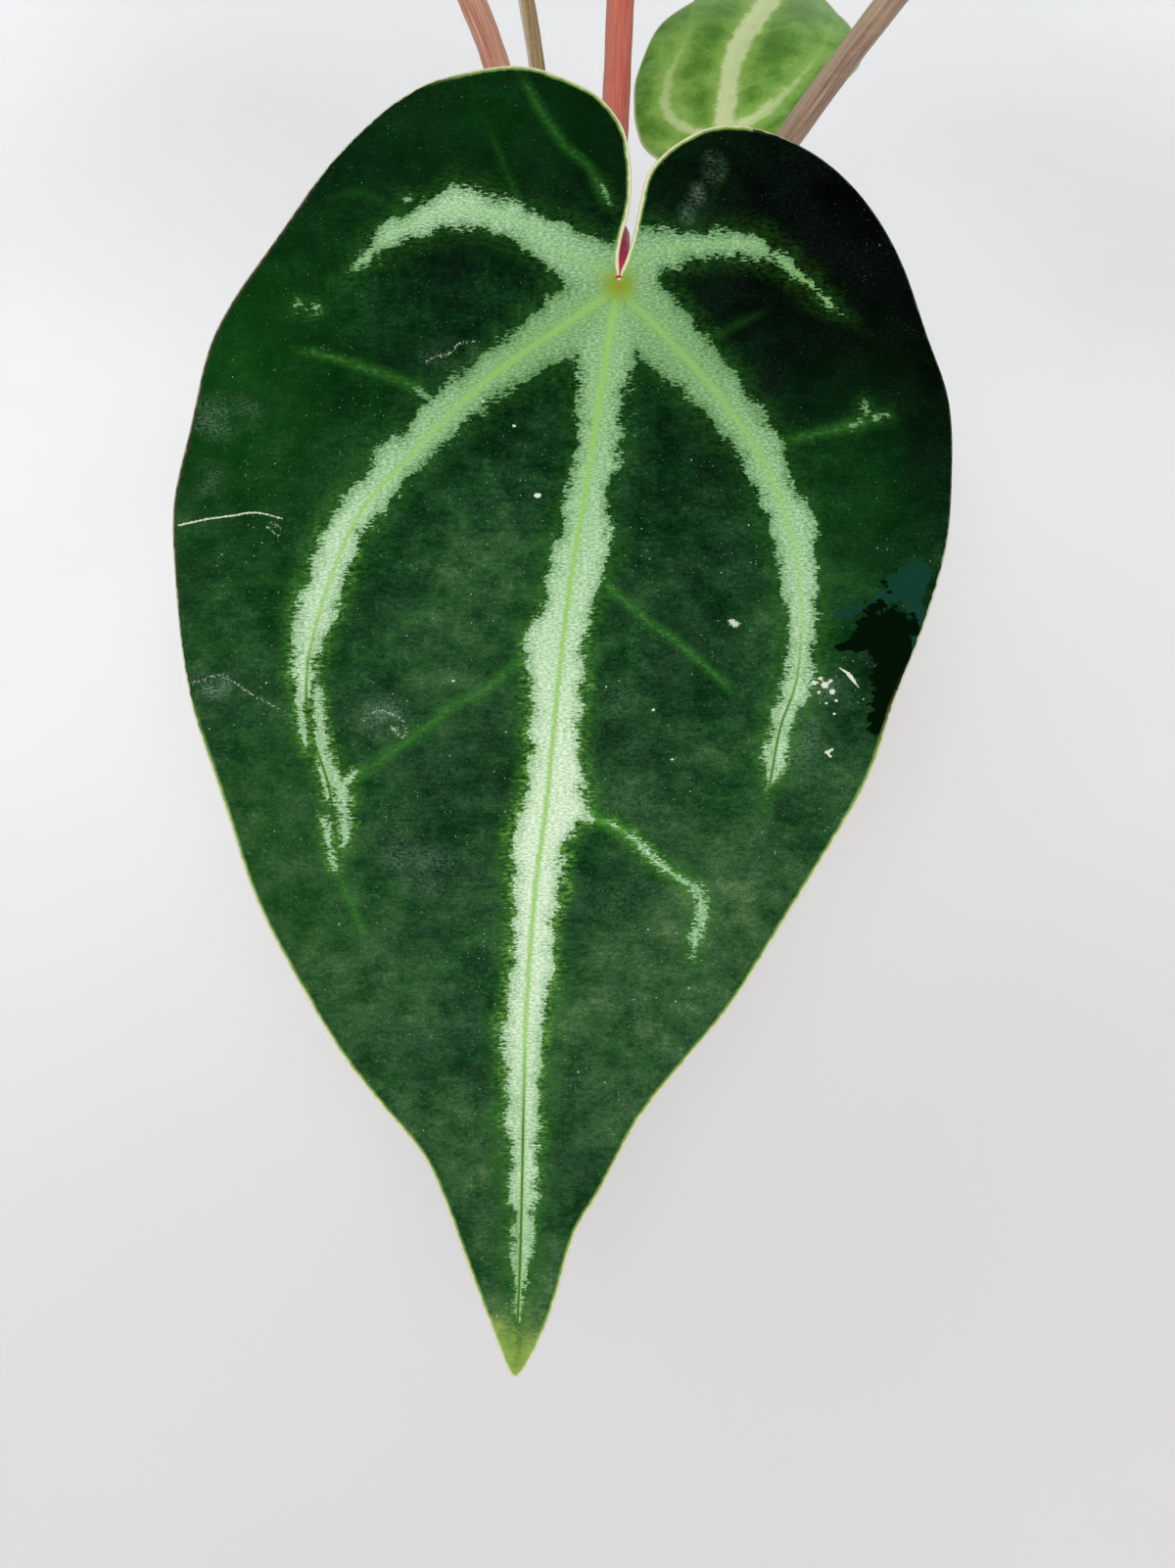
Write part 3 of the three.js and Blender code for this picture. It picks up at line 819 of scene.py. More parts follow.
class Growth:
    """Geometry node trees for what follows a path or is strewn over a surface, each built once."""

    def __init__(self) -> None:
        """Builds the trees."""
        self.tube = self.build_tube()
        self.lumps = self.build_scatter("Strewn lumps", Grain.LUMP, Lay.TUMBLED)
        self.hairs = self.build_scatter("Standing hairs", Grain.HAIR, Lay.STANDING)

    @staticmethod
    def build_tube() -> NodeTree:
        """A closed round tube along a line of edges, as thick as the line's own tube_radius says.

        Returns:
            The tree.
        """
        sheet = GroupSheet("Tube along a path", "GeometryNodeTree",
                           [Socket("Path", "Geometry"), Socket("Sides", "Int", 16),
                            Socket("Finish", "Material")],
                           [Socket("Tube", "Geometry")])
        curve = sheet.made("GeometryNodeMeshToCurve", {"Mesh": sheet.entry["Path"]}).outputs[0]
        inputs = {"Resolution": sheet.entry["Sides"], "Radius": 1.0}
        circle = sheet.made("GeometryNodeCurvePrimitiveCircle", inputs)
        radius = sheet.made("GeometryNodeInputNamedAttribute", {"Name": "tube_radius"}).outputs["Attribute"]
        inputs = {"Curve": curve, "Profile Curve": circle.outputs[0], "Scale": radius, "Fill Caps": True}
        skin = sheet.made("GeometryNodeCurveToMesh", inputs).outputs[0]
        side = sheet.node("GeometryNodeInputNormal").outputs[0]
        store = sheet.node("GeometryNodeStoreNamedAttribute", data_type="FLOAT_VECTOR", domain="POINT")
        sheet.feed(store.inputs["Geometry"], skin)
        sheet.feed(store.inputs["Name"], "tube_side")
        sheet.feed(next(s for s in store.inputs if s.name == "Value" and s.type == "VECTOR"), side)
        inputs = {"Geometry": store.outputs[0], "Shade Smooth": True}
        smooth = sheet.made("GeometryNodeSetShadeSmooth", inputs).outputs[0]
        whole = sheet.made("GeometryNodeRealizeInstances", {"Geometry": smooth}).outputs[0]
        inputs = {"Geometry": whole, "Material": sheet.entry["Finish"]}
        return sheet.finish(Tube=sheet.made("GeometryNodeSetMaterial", inputs).outputs[0])

    @staticmethod
    def build_scatter(name: str, grain: Grain, lay: Lay) -> NodeTree:
        """Grains strewn over a surface, most where the surface's own strewn_share is highest.

        Args:
            name: the tree's name.
            grain: shape of a grain.
            lay: how a grain lies.

        Returns:
            The tree.
        """
        sheet = GroupSheet(name, "GeometryNodeTree",
                           [Socket("Surface", "Geometry"), Socket("Density"), Socket("Seed", "Int"),
                            Socket("Smallest", "Vector"), Socket("Largest", "Vector"),
                            Socket("Unevenness"), Socket("Finish", "Material")],
                           [Socket("Grains", "Geometry")])
        share = sheet.made("GeometryNodeInputNamedAttribute", {"Name": "strewn_share"}).outputs["Attribute"]
        density = sheet.times(sheet.entry["Density"], share)
        inputs = {"Mesh": sheet.entry["Surface"], "Density": density, "Seed": sheet.entry["Seed"]}
        points = sheet.made("GeometryNodeDistributePointsOnFaces", inputs)
        if grain is Grain.LUMP:
            shape = sheet.made("GeometryNodeMeshIcoSphere", {"Radius": 1.0, "Subdivisions": 1}).outputs[0]
        else:
            cone = {"Vertices": 4, "Radius Top": 0.12, "Radius Bottom": 1.0, "Depth": 1.0}
            shape = sheet.made("GeometryNodeMeshCone", cone, fill_type="NONE").outputs[0]
        turn = points.outputs["Rotation"]
        if lay is Lay.TUMBLED:
            turn = sheet.random_vector((0, 0, 0), (math.tau,) * 3, sheet.entry["Seed"])
        size = sheet.random_vector(sheet.entry["Smallest"], sheet.entry["Largest"], sheet.entry["Seed"])
        inputs = {"Points": points.outputs["Points"], "Instance": shape, "Rotation": turn, "Scale": size}
        placed = sheet.made("GeometryNodeInstanceOnPoints", inputs).outputs[0]
        whole = sheet.made("GeometryNodeRealizeInstances", {"Geometry": placed}).outputs[0]
        spot = sheet.node("GeometryNodeInputPosition").outputs[0]
        push = sheet.made("ShaderNodeTexNoise", {"Vector": spot, "Scale": 450.0}).outputs["Color"]
        inputs = {"Vector": sheet.vectors("SUBTRACT", push, (0.5, 0.5, 0.5)),
                  "Scale": sheet.entry["Unevenness"]}
        reach = sheet.made("ShaderNodeVectorMath", inputs, operation="SCALE").outputs[0]
        moved = sheet.made("GeometryNodeSetPosition", {"Geometry": whole, "Offset": reach}).outputs[0]
        inputs = {"Geometry": moved, "Material": sheet.entry["Finish"]}
        return sheet.finish(Grains=sheet.made("GeometryNodeSetMaterial", inputs).outputs[0])


# Finishes


@dataclass(frozen=True)
class VelvetFinish:
    """Upper face of a mature blade: near-black velvet green with bristly silver along the veins."""

    name: str = "Velvet upper face"
    ground: tuple[tuple[float, Colour], ...] = (
        (0.0, srgb(0, 2, 1)), (0.07, srgb(1, 12, 4)), (0.16, srgb(3, 24, 9)), (0.27, srgb(7, 42, 13)),
        (0.36, srgb(20, 54, 27)), (0.43, srgb(29, 66, 32)), (0.50, srgb(43, 78, 40)),
        (0.58, srgb(55, 88, 54)), (0.71, srgb(90, 118, 66)), (0.94, srgb(132, 158, 74)),
    )
    silver: tuple[tuple[float, Colour], ...] = (
        (0.0, srgb(43, 88, 45)), (0.22, srgb(80, 124, 76)), (0.45, srgb(115, 156, 108)),
        (0.66, srgb(154, 190, 147)), (0.84, srgb(189, 213, 180)), (1.0, srgb(220, 231, 208)),
    )
    lush: Colour = srgb(10, 62, 8)
    halo: Colour = srgb(48, 102, 30)
    bright_halo: Colour = srgb(104, 148, 62)
    core: Colour = srgb(138, 184, 90)
    warm: Colour = srgb(128, 174, 88)
    dark_core: Colour = srgb(44, 92, 38)
    glow: Colour = srgb(44, 104, 34)
    bright_glow: Colour = srgb(88, 152, 62)
    # Grey-green painted sheen, laid over the ground where the blade's sheen share is high.
    sheen_haze: Colour = srgb(92, 120, 96)
    # Colour of the pale specks: dust, and the painted sparkle of the velvet's cells.
    speck: Colour = srgb(186, 208, 192)
    cream: Colour = srgb(218, 214, 178)
    lime: Colour = srgb(134, 166, 84)
    plum: Colour = srgb(66, 52, 50)
    bruise: Colour = srgb(1, 14, 2)
    teal: Colour = srgb(16, 56, 44)
    scar: Colour = srgb(214, 220, 198)
    joint_green: Colour = srgb(124, 144, 38)
    joint_brown: Colour = srgb(160, 104, 52)
    # Clouds that mottle the ground: the squeeze, scale and share of each.
    mottle: tuple[tuple[Point, float, float], ...] = (
        ((1, 1, 1), 0.055, 0.58), ((1, 1.3, 1), 0.2, 0.52), ((0.8, 1.4, 1), 1.0, 0.40),
        ((2.2, 4.0, 1), 1.0, 0.46),
    )
    # Layers of pale specks, partly dust and partly the painted sparkle of the velvet's cells: cells in a
    # millimetre, size and share of the specks, and how strongly they show.
    dust_and_sparkle: tuple[Point, ...] = ((0.42, 0.075, 0.20, 0.9), (1.1, 0.13, 0.12, 0.7), (2.2, 0.2, 0.12, 0.5))

    def build(self, effects: Effects) -> Material:
        """Builds the material from the blade's own attributes.

        Args:
            effects: the shared node groups.

        Returns:
            The material.
        """
        sheet = MaterialSheet(self.name, effects)
        sheet.constant(Specular_IOR_Level=0.012, Sheen_Weight=0.012, Sheen_Roughness=0.15)
        plane, edge = sheet.leaf_plane()
        colour, cover = self.add_silver(sheet, plane, self.ground_colour(sheet, plane))
        colour = self.add_margin(sheet, plane, edge, self.add_marks(sheet, plane, colour))
        nap = sheet.stretched(plane, (3.4, 5.0, 1), 3.0, 0.7)
        height = sheet.maths("MULTIPLY_ADD", cover, 0.5, nap)
        return sheet.finish(colour, sheet.ramped(nap, 0.2, 0.8, 0.55, 0.72), height, 0.10)

    def ground_colour(self, sheet: MaterialSheet, plane: NodeSocket) -> NodeSocket:
        """The green between the veins: mottled and grainy, with a painted sheen in places.

        Args:
            sheet: the material's nodes.
            plane: the place on the blade.

        Returns:
            The colour.
        """
        tone, sheen_haze, _ = sheet.parts("leaf_ground")
        lush = sheet.parts("leaf_heart")[2]
        for squeeze, scale, share in self.mottle:
            cloud = sheet.centred(sheet.noise(sheet.scaled(plane, squeeze), scale, 3.0, 0.65))
            calmer_in_the_dark = sheet.ramped(tone, 0.0, 0.3, share * 0.4, share)
            tone = sheet.maths("ADD", tone, sheet.times(cloud, calmer_in_the_dark))
        patch = sheet.applied(sheet.effects.patches, Place=plane, Scale=0.09, Level=0.5, Softness=0.14)
        # Painted sheen: streaky grey-green in cloudy patches, as strong as the blade's sheen share.
        painted_sheen = sheet.times(sheet.streak(plane, (1.5, 2.8, 1), 4.6), patch, sheen_haze)
        return sheet.layered(sheet.gradient(tone, self.ground), (sheet.times(lush, 0.6), self.lush),
                             (painted_sheen, self.sheen_haze))

    def add_silver(self, sheet: MaterialSheet, plane: NodeSocket, ground: NodeSocket) -> list[NodeSocket]:
        """Lays the side veins, the halo and the bristly silver bands over the ground.

        Args:
            sheet: the material's nodes.
            plane: the place on the blade.
            ground: the colour below.

        Returns:
            The colour, and how much of it is silver.
        """
        depth, bright, glow = sheet.parts("leaf_silver")
        core, lower_core, _ = sheet.parts("leaf_core")
        heart, warmth, _ = sheet.parts("leaf_heart")
        fleck, cored, _ = sheet.parts("leaf_fleck")
        bristles = sheet.effects.bristles
        band = sheet.effect(bristles, Place=plane, Depth=depth, Wander=4.2, Bristle=4.4, Reach=4.2)
        loose = sheet.effect(bristles, Place=plane, Depth=fleck, Wander=2.6, Bristle=5.0, Reach=2.6)
        mask, halo, moved = band.outputs
        halo = sheet.maths("MAXIMUM", halo, loose.outputs["Halo"])
        tuft = sheet.ramped(sheet.stretched(plane, (0.8, 1.7, 1), 4.0, 0.7), 0.36, 0.60, 0.1, 1.0)
        glowing = sheet.times(halo, tuft, sheet.ramped(bright, 0.58, 0.88, 0.28, 1.0))
        thread = sheet.maths("MULTIPLY_ADD", sheet.streak(plane, (0.9, 1.6, 1), 3.0), 0.7, 0.4)
        soft = sheet.maths("MULTIPLY CLAMP", glow, thread)
        colour = sheet.layered(
            ground, (glowing, self.halo), (sheet.ramped(glowing, 0.45, 0.95, 0.0, 0.7), self.bright_halo),
            (sheet.times(soft, 0.8), self.glow),
            (sheet.times(sheet.maths("POWER", soft, 3.0), 0.8), self.bright_glow))

        fibre = sheet.centred(sheet.streak(plane, (1.5, 3.4, 1), 4.2))
        level = sheet.maths("MULTIPLY_ADD", fibre, 0.33, bright)
        level = sheet.maths("ADD", level, sheet.ramped(moved, 0.0, 1.8, -0.18, 0.0))
        ragged = sheet.maths("MULTIPLY_ADD", fibre, 0.35, core)
        silver = sheet.layered(
            sheet.gradient(level, self.silver),
            (sheet.times(warmth, sheet.ramped(core, 0.3, 2.6, 0.42, 0.12)), self.warm),
            (sheet.times(sheet.ramped(ragged, 0.05, 0.85, 0.85, 0.0), cored), self.core),
            (sheet.times(sheet.ramped(core, 0.12, 0.32, 0.8, 0.0), lower_core), self.dark_core))
        gaps = sheet.ramped(sheet.stretched(plane, (2.6, 4.4, 1), 2.0, 0.6), 0.3, 0.52, 0.45, 1.0)
        cover = sheet.times(mask, sheet.maths("MAXIMUM", gaps, sheet.ramped(moved, 0.2, 2.2)))
        cover = sheet.maths("MAXIMUM", cover, sheet.times(loose.outputs["Mask"], gaps))
        colour = sheet.layered(
            colour, (cover, silver), (sheet.ramped(heart, 0.0, 0.95, 0.0, 0.92), self.joint_green),
            (sheet.ramped(heart, 0.90, 1.0, 0.0, 0.45), self.joint_brown))
        return [colour, cover]

    def add_marks(self, sheet: MaterialSheet, plane: NodeSocket, colour: NodeSocket) -> NodeSocket:
        """Adds pale specks, partly dust and partly painted sparkle, bruises, and scars with broken edges.

        Args:
            sheet: the material's nodes.
            plane: the place on the blade.
            colour: the colour below.

        Returns:
            The colour.
        """
        tone, _, bruise = sheet.parts("leaf_ground")
        teal, scar, strength = sheet.parts("leaf_marks")
        dust_and_sparkle = 0.0
        for cells, size, share, force in self.dust_and_sparkle:
            specks = sheet.applied(sheet.effects.specks, Place=plane, Cells=cells, Size=size, Share=share)
            dust_and_sparkle = sheet.maths("MAXIMUM", dust_and_sparkle, sheet.times(specks, force))
        dust_and_sparkle = sheet.times(dust_and_sparkle, sheet.ramped(sheet.noise(plane, 0.07, 4.0, 0.6), 0.38, 0.66, 0.2, 1.3))
        colour = sheet.blend(sheet.times(dust_and_sparkle, sheet.ramped(tone, 0.1, 0.36, 0.2, 1.0)), colour, self.speck)
        chip = sheet.centred(sheet.stretched(plane, (0.35, 0.6, 1), 4.0, 0.62))
        for inner, tint, share in ((teal, self.teal, 0.9), (bruise, self.bruise, 1.0)):
            broken = sheet.maths("MULTIPLY_ADD", chip, 6.5, inner)
            colour = sheet.blend(sheet.ramped(broken, -0.12, 0.12, 0.0, share), colour, tint)
        wobble = sheet.maths("SUBTRACT", sheet.noise(plane, 2.6, 3.0, 0.7), 0.55)
        scratch = sheet.maths("MULTIPLY_ADD", wobble, sheet.ramped(strength, 0.6, 0.9, 3.4, 0.6), scar)
        return sheet.blend(sheet.times(sheet.ramped(scratch, -0.10, 0.08), strength), colour, self.scar)

    def add_margin(self, sheet: MaterialSheet, plane: NodeSocket, edge: NodeSocket,
                   colour: NodeSocket) -> NodeSocket:
        """Edges the blade with a thin pale line, purplish on the upper left and cream round the notch.

        Args:
            sheet: the material's nodes.
            plane: the place on the blade.
            edge: distance to the margin.
            colour: the colour below.

        Returns:
            The colour.
        """
        rim, shade = sheet.parts("leaf_core")[2], sheet.parts("leaf_fleck")[2]
        wander = sheet.maths("MULTIPLY_ADD", sheet.centred(sheet.noise(plane, 0.6, 3.0)), 0.5, edge)
        plum = sheet.times(sheet.ramped(wander, 0.25, 0.7, 1.0, 0.0),
                           sheet.ramped(rim, -1.0, -0.2, 0.75, 0.0))
        lime = sheet.times(sheet.ramped(wander, 0.35, 0.8, 1.0, 0.0), sheet.ramped(rim, 0.1, 0.6, 0.0, 0.8))
        width = sheet.maths("MULTIPLY_ADD", sheet.maths("MAXIMUM", rim, 0.0), 0.10, 0.12)
        line = sheet.ramped(sheet.maths("SUBTRACT", wander, width), -0.08, 0.1, 1.0, 0.0)
        pale = sheet.times(line, sheet.ramped(shade, 0.1, 0.9, 1.0, 0.12),
                           sheet.ramped(rim, -1.0, 0.6, 0.5, 0.95))
        return sheet.layered(colour, (plum, self.plum), (lime, self.lime), (pale, self.cream))


@dataclass(frozen=True)
class YoungFinish:
    """Upper face of the young blade: fresh mottled green with pale veins and a painted sheen towards the tip.
    """

    name: str = "Young upper face"
    ground: tuple[tuple[float, Colour], ...] = (
        (0.0, srgb(62, 112, 32)), (0.3, srgb(104, 158, 52)), (0.55, srgb(158, 206, 102)),
        (0.8, srgb(204, 236, 152)), (1.0, srgb(224, 244, 184)),
    )
    glow: Colour = srgb(158, 194, 108)
    halo: Colour = srgb(172, 214, 104)
    dim_band: Colour = srgb(228, 252, 178)
    band: Colour = srgb(254, 255, 214)
    # Pale grey-green painted sheen, where the blade's sheen share rises towards the tip.
    bloom: Colour = srgb(184, 206, 168)
    cream: Colour = srgb(214, 220, 176)

    def build(self, effects: Effects) -> Material:
        """Builds the material from the blade's own attributes.

        Args:
            effects: the shared node groups.

        Returns:
            The material.
        """
        sheet = MaterialSheet(self.name, effects)
        sheet.constant(Specular_IOR_Level=0.25, Sheen_Weight=0.06, Sheen_Roughness=0.4)
        plane, edge = sheet.leaf_plane()
        depth, bright, glow = sheet.parts("leaf_silver")
        tone, sheen_haze, _ = sheet.parts("leaf_ground")
        fleck = sheet.centred(sheet.noise(plane, 1.3, 3.0, 0.7))
        tone = sheet.maths("MULTIPLY_ADD", sheet.centred(sheet.noise(plane, 0.13, 4.0, 0.62)), 0.9, tone)
        tone = sheet.maths("MULTIPLY_ADD", fleck, 0.28, tone)
        band = sheet.effect(effects.bristles, Place=plane, Depth=depth, Wander=2.4, Bristle=2.2, Reach=3.0)
        pale = sheet.blend(sheet.streak(plane, (2.2, 2.2, 1), 1.6), self.dim_band, self.band)
        soft = sheet.times(sheet.ramped(band.outputs["Moved Depth"], -0.6, 0.7), bright)
        # The first layer over the ground is the painted sheen.
        colour = sheet.layered(
            sheet.gradient(tone, self.ground), (sheen_haze, self.bloom), (sheet.times(glow, 0.8), self.glow),
            (sheet.times(band.outputs["Halo"], 0.6), self.halo), (soft, pale),
            (sheet.ramped(edge, 0.1, 0.42, 0.9, 0.0), self.cream))
        height = sheet.maths("ADD", sheet.noise(plane, 2.2, 3.0, 0.7), sheet.noise(plane, 0.5, 2.0))
        return sheet.finish(colour, sheet.ramped(fleck, -0.3, 0.3, 0.38, 0.55), height, 0.12)


@dataclass(frozen=True)
class UndersideFinish:
    """Lower face of a blade: matt pale green with a raised lighter net."""

    name: str = "Blade underside"
    ground: Colour = srgb(112, 138, 84)
    deep: Colour = srgb(84, 112, 62)
    net: Colour = srgb(150, 170, 112)
    rib: Colour = srgb(176, 190, 132)
    # The coarse and the fine net: scale, width and strength of each.
    nets: tuple[Point, ...] = ((0.2, 0.075, 1.0), (0.62, 0.09, 0.45))

    def build(self, effects: Effects) -> Material:
        """Builds the material from the blade's own attributes.

        Args:
            effects: the shared node groups.

        Returns:
            The material.
        """
        sheet = MaterialSheet(self.name, effects)
        sheet.constant(Specular_IOR_Level=0.25)
        plane, _ = sheet.leaf_plane()
        core, glow = sheet.parts("leaf_core")[0], sheet.parts("leaf_silver")[2]
        cloud = sheet.applied(effects.patches, Place=plane, Scale=0.09, Level=0.5, Softness=0.2)
        inputs = {"Vector": plane, "Scale": 0.3, "Detail": 2.0}
        bend = sheet.made("ShaderNodeTexNoise", inputs).outputs["Color"]
        bent = sheet.vectors("MULTIPLY_ADD", bend, (2.4, 2.4, 0), plane)
        net = 0.0
        for scale, width, strength in self.nets:
            inputs = {"Vector": bent, "Scale": scale}
            cells = sheet.made("ShaderNodeTexVoronoi", inputs, feature="DISTANCE_TO_EDGE")
            net = sheet.maths("MAXIMUM", net,
                              sheet.ramped(cells.outputs["Distance"], 0.0, width, strength, 0.0))
        colour = sheet.layered(
            sheet.blend(cloud, self.ground, self.deep), (sheet.times(net, 0.7), self.net), (glow, self.net),
            (sheet.ramped(core, 0.6, 2.4, 1.0, 0.0), self.rib))
        grain = sheet.noise(plane, 1.8, 3.0, 0.7)
        height = sheet.maths("MULTIPLY_ADD", net, 1.4, grain)
        return sheet.finish(colour, sheet.ramped(grain, 0.2, 0.8, 0.58, 0.72), height, 0.12)


@dataclass(frozen=True)
class StalkFinish:
    """Skin of a leaf stalk: fine streaks along it, one side painted lighter as if lit, and lenticel dots."""

    name: str
    skin: Colour
    shade: Colour
    light: Colour
    # The side that is painted lighter as if lit, and how strongly.
    light_side: Point = (-1.0, 0.0, 0.0)
    light_share: float = 0.5
    streak_share: float = 0.4
    top: Colour = srgb(124, 40, 54)
    top_from: float = 0.9
    top_span: float = 0.1

    def build(self, effects: Effects) -> Material:
        """Builds the material from the tube's own attributes.

        Args:
            effects: the shared node groups.

        Returns:
            The material.
        """
        sheet = MaterialSheet(self.name, effects)
        sheet.constant(Specular_IOR_Level=0.35, Sheen_Weight=0.05)
        side = sheet.attribute("tube_side")
        along, share = sheet.value("tube_along"), sheet.value("tube_share")
        run = sheet.made("ShaderNodeCombineXYZ", {"X": 0.0, "Y": 0.0, "Z": along}).outputs[0]
        place = sheet.vectors("MULTIPLY_ADD", side, (3.0, 3.0, 3.0), run)
        cloud = sheet.stretched(place, (0.55, 0.55, 0.06), 3.0, 0.6)
        # Painted light: the side of the tube that faces the lit side is lightened.
        lit = sheet.ramped(sheet.vectors("DOT_PRODUCT", side, self.light_side), 0.25, 0.9, 0.0,
                           self.light_share)
        streak = sheet.streak(place, (2.6, 2.6, 0.05), 3.0)
        ring = sheet.streak(place, (0.1, 0.1, 0.9), 2.2)
        spread = sheet.scaled(place, (0.9, 0.9, 0.5))
        dots = sheet.applied(effects.specks, Place=spread, Cells=1.0, Size=0.16, Share=0.2)
        colour = sheet.layered(
            self.skin, (sheet.ramped(cloud, 0.35, 0.7), self.shade), (lit, self.light),
            (sheet.times(sheet.ramped(streak, 0.55, 0.95), self.streak_share), self.shade),
            (sheet.times(sheet.ramped(streak, 0.45, 0.05), self.streak_share), self.light),
            (sheet.ramped(ring, 0.5, 1.0, 0.0, 0.22), self.light), (sheet.times(dots, 0.3), self.light),
            (sheet.ramped(share, self.top_from, min(1.0, self.top_from + self.top_span)), self.top))
        height = sheet.maths("MULTIPLY_ADD", dots, 0.5, streak)
        return sheet.finish(colour, sheet.ramped(cloud, 0.3, 0.7, 0.36, 0.52), height, 0.10)


@dataclass(frozen=True)
class GrainFinish:
    """A natural grainy surface: two mixed tones, patches of a third, and relief."""

    name: str
    base: Colour
    second: Colour
    patch: Colour
    patch_scale: float = 0.12
    patch_level: float = 0.45
    patch_share: float = 0.7
    coarse: float = 0.5
    fine: float = 3.0
    relief: float = 0.3
    roughness: tuple[float, float] = (0.7, 0.95)
    specular: float = 0.25
    squeeze: Point = (1.0, 1.0, 1.0)

    def build(self, effects: Effects) -> Material:
        """Builds the material from Object coordinates.

        Args:
            effects: the shared node groups.

        Returns:
            The material.
        """
        sheet = MaterialSheet(self.name, effects)
        sheet.constant(Specular_IOR_Level=self.specular)
        place = sheet.scaled(sheet.object_millimetres(), self.squeeze)
        height = sheet.applied(effects.relief, Place=place, Coarse=self.coarse, Fine=self.fine,
                               Fine_Share=0.5)
        spots = sheet.applied(effects.patches, Place=place, Scale=self.patch_scale, Level=self.patch_level,
                              Softness=0.1)
        specks = sheet.applied(effects.specks, Place=place, Cells=0.8, Size=0.18, Share=0.18)
        colour = sheet.layered(
            self.base, (sheet.ramped(height, 0.55, 0.95), self.second),
            (sheet.times(spots, self.patch_share), self.patch), (sheet.times(specks, 0.5), self.second))
        return sheet.finish(colour, sheet.ramped(height, 0.5, 1.0, *self.roughness), height, self.relief)


@dataclass(frozen=True)
class ClayFinish:
    """Fired clay that has been in use: warm body, white mineral bloom, damp foot and throwing lines."""

    name: str = "Fired clay"
    body: Colour = srgb(178, 104, 72)
    deep: Colour = srgb(146, 78, 54)
    pale: Colour = srgb(198, 130, 98)
    bloom: Colour = srgb(216, 200, 184)
    damp: Colour = srgb(112, 66, 48)
    algae: Colour = srgb(88, 94, 58)
    # Heights in millimetres between which the damp foot, the algae and the bloom change.
    damp_heights: tuple[float, float] = (4, 26)
    algae_heights: tuple[float, float] = (10, 40)
    bloom_heights: tuple[float, float] = (8, 66)

    def build(self, effects: Effects) -> Material:
        """Builds the material from Object coordinates.

        Args:
            effects: the shared node groups.

        Returns:
            The material.
        """
        sheet = MaterialSheet(self.name, effects)
        sheet.constant(Specular_IOR_Level=0.2)
        place = sheet.object_millimetres()
        high = sheet.split(place)[2]
        mottle = sheet.noise(place, 0.07, 5.0, 0.6)
        lines = sheet.stretched(place, (0.02, 0.02, 1.1), 3.0, 0.6)
        bloom = sheet.applied(effects.patches, Place=place, Scale=0.055, Level=0.50, Softness=0.12)
        crust = sheet.streak(place, (0.8, 0.8, 0.8), 3.0)
        wet = sheet.maths("MULTIPLY_ADD", sheet.centred(mottle), 30.0, high)
        green = sheet.applied(effects.patches, Place=place, Scale=0.08, Level=0.42, Softness=0.08)
        pits = sheet.applied(effects.specks, Place=place, Cells=0.55, Size=0.16, Share=0.3)
        grain = sheet.applied(effects.relief, Place=place, Coarse=0.6, Fine=4.0, Fine_Share=0.6)
        colour = sheet.layered(
            self.deep, (sheet.ramped(mottle, 0.3, 0.7), self.body),
            (sheet.ramped(lines, 0.45, 0.75, 0.0, 0.5), self.pale),
            (sheet.times(bloom, crust, sheet.ramped(high, *self.bloom_heights, 0.35, 0.9)), self.bloom),
            (sheet.ramped(wet, *self.damp_heights, 0.7, 0.0), self.damp),
            (sheet.times(green, sheet.ramped(high, *self.algae_heights, 0.5, 0.08)), self.algae),
            (sheet.times(pits, 0.4), self.damp))
        fine = sheet.maths("SUBTRACT", grain, sheet.times(pits, 0.7))
        height = sheet.maths("MULTIPLY_ADD", lines, 0.8, fine)
        return sheet.finish(colour, sheet.ramped(grain, 0.4, 1.1, 0.72, 0.92), height, 0.28)


@dataclass(frozen=True)
class BractFinish:
    """Dry papery bract: straw brown with darker ribs along it and a lighter ragged edge."""

    name: str = "Papery bract"
    straw: Colour = srgb(172, 138, 96)
    brown: Colour = srgb(112, 76, 48)
    pale: Colour = srgb(206, 182, 142)

    def build(self, effects: Effects) -> Material:
        """Builds the material from the bract's own attribute: across, along, edge.

        Args:
            effects: the shared node groups.

        Returns:
            The material.
        """
        sheet = MaterialSheet(self.name, effects)
        sheet.constant(Specular_IOR_Level=0.3, Sheen_Weight=0.08)
        place = sheet.attribute("bract_place")
        _, along, edge = sheet.split(place)
        flat = sheet.scaled(place, (1, 1, 0))
        cloud = sheet.noise(flat, 0.2, 4.0, 0.6)
        rib = sheet.streak(flat, (1.9, 0.10, 1), 3.4)
        colour = sheet.layered(
            self.straw, (sheet.ramped(cloud, 0.3, 0.7), self.brown), (sheet.times(rib, 0.55), self.pale),
            (sheet.ramped(along, 0, 9, 0.6, 0.0), self.brown),
            (sheet.ramped(edge, 0.0, 0.9, 0.6, 0.0), self.pale))
        height = sheet.maths("ADD", rib, sheet.noise(flat, 1.5, 3.0, 0.7))
        return sheet.finish(colour, sheet.ramped(cloud, 0.3, 0.7, 0.5, 0.75), height, 0.2)


# Leaves


class Vein(IntEnum):
    """The five main veins of a blade, from the left lobe round the tip to the right lobe."""

    LEFT_LOBE = 0
    LEFT = 1
    MIDRIB = 2
    RIGHT = 3
    RIGHT_LOBE = 4


@dataclass(frozen=True)
class Band:
    """The pale band along a main vein: way along, half width on the vein's left and on its right."""

    widths: tuple[Point, ...]
    brightness: tuple[Point, ...]
    dark_from: float = 1000.0
    core: float = 0.25


# Distance between the corners of a stroke, and the depth of a place far outside every stroke.
STROKE_STEP = 0.4
FAR_OUTSIDE = -6.0


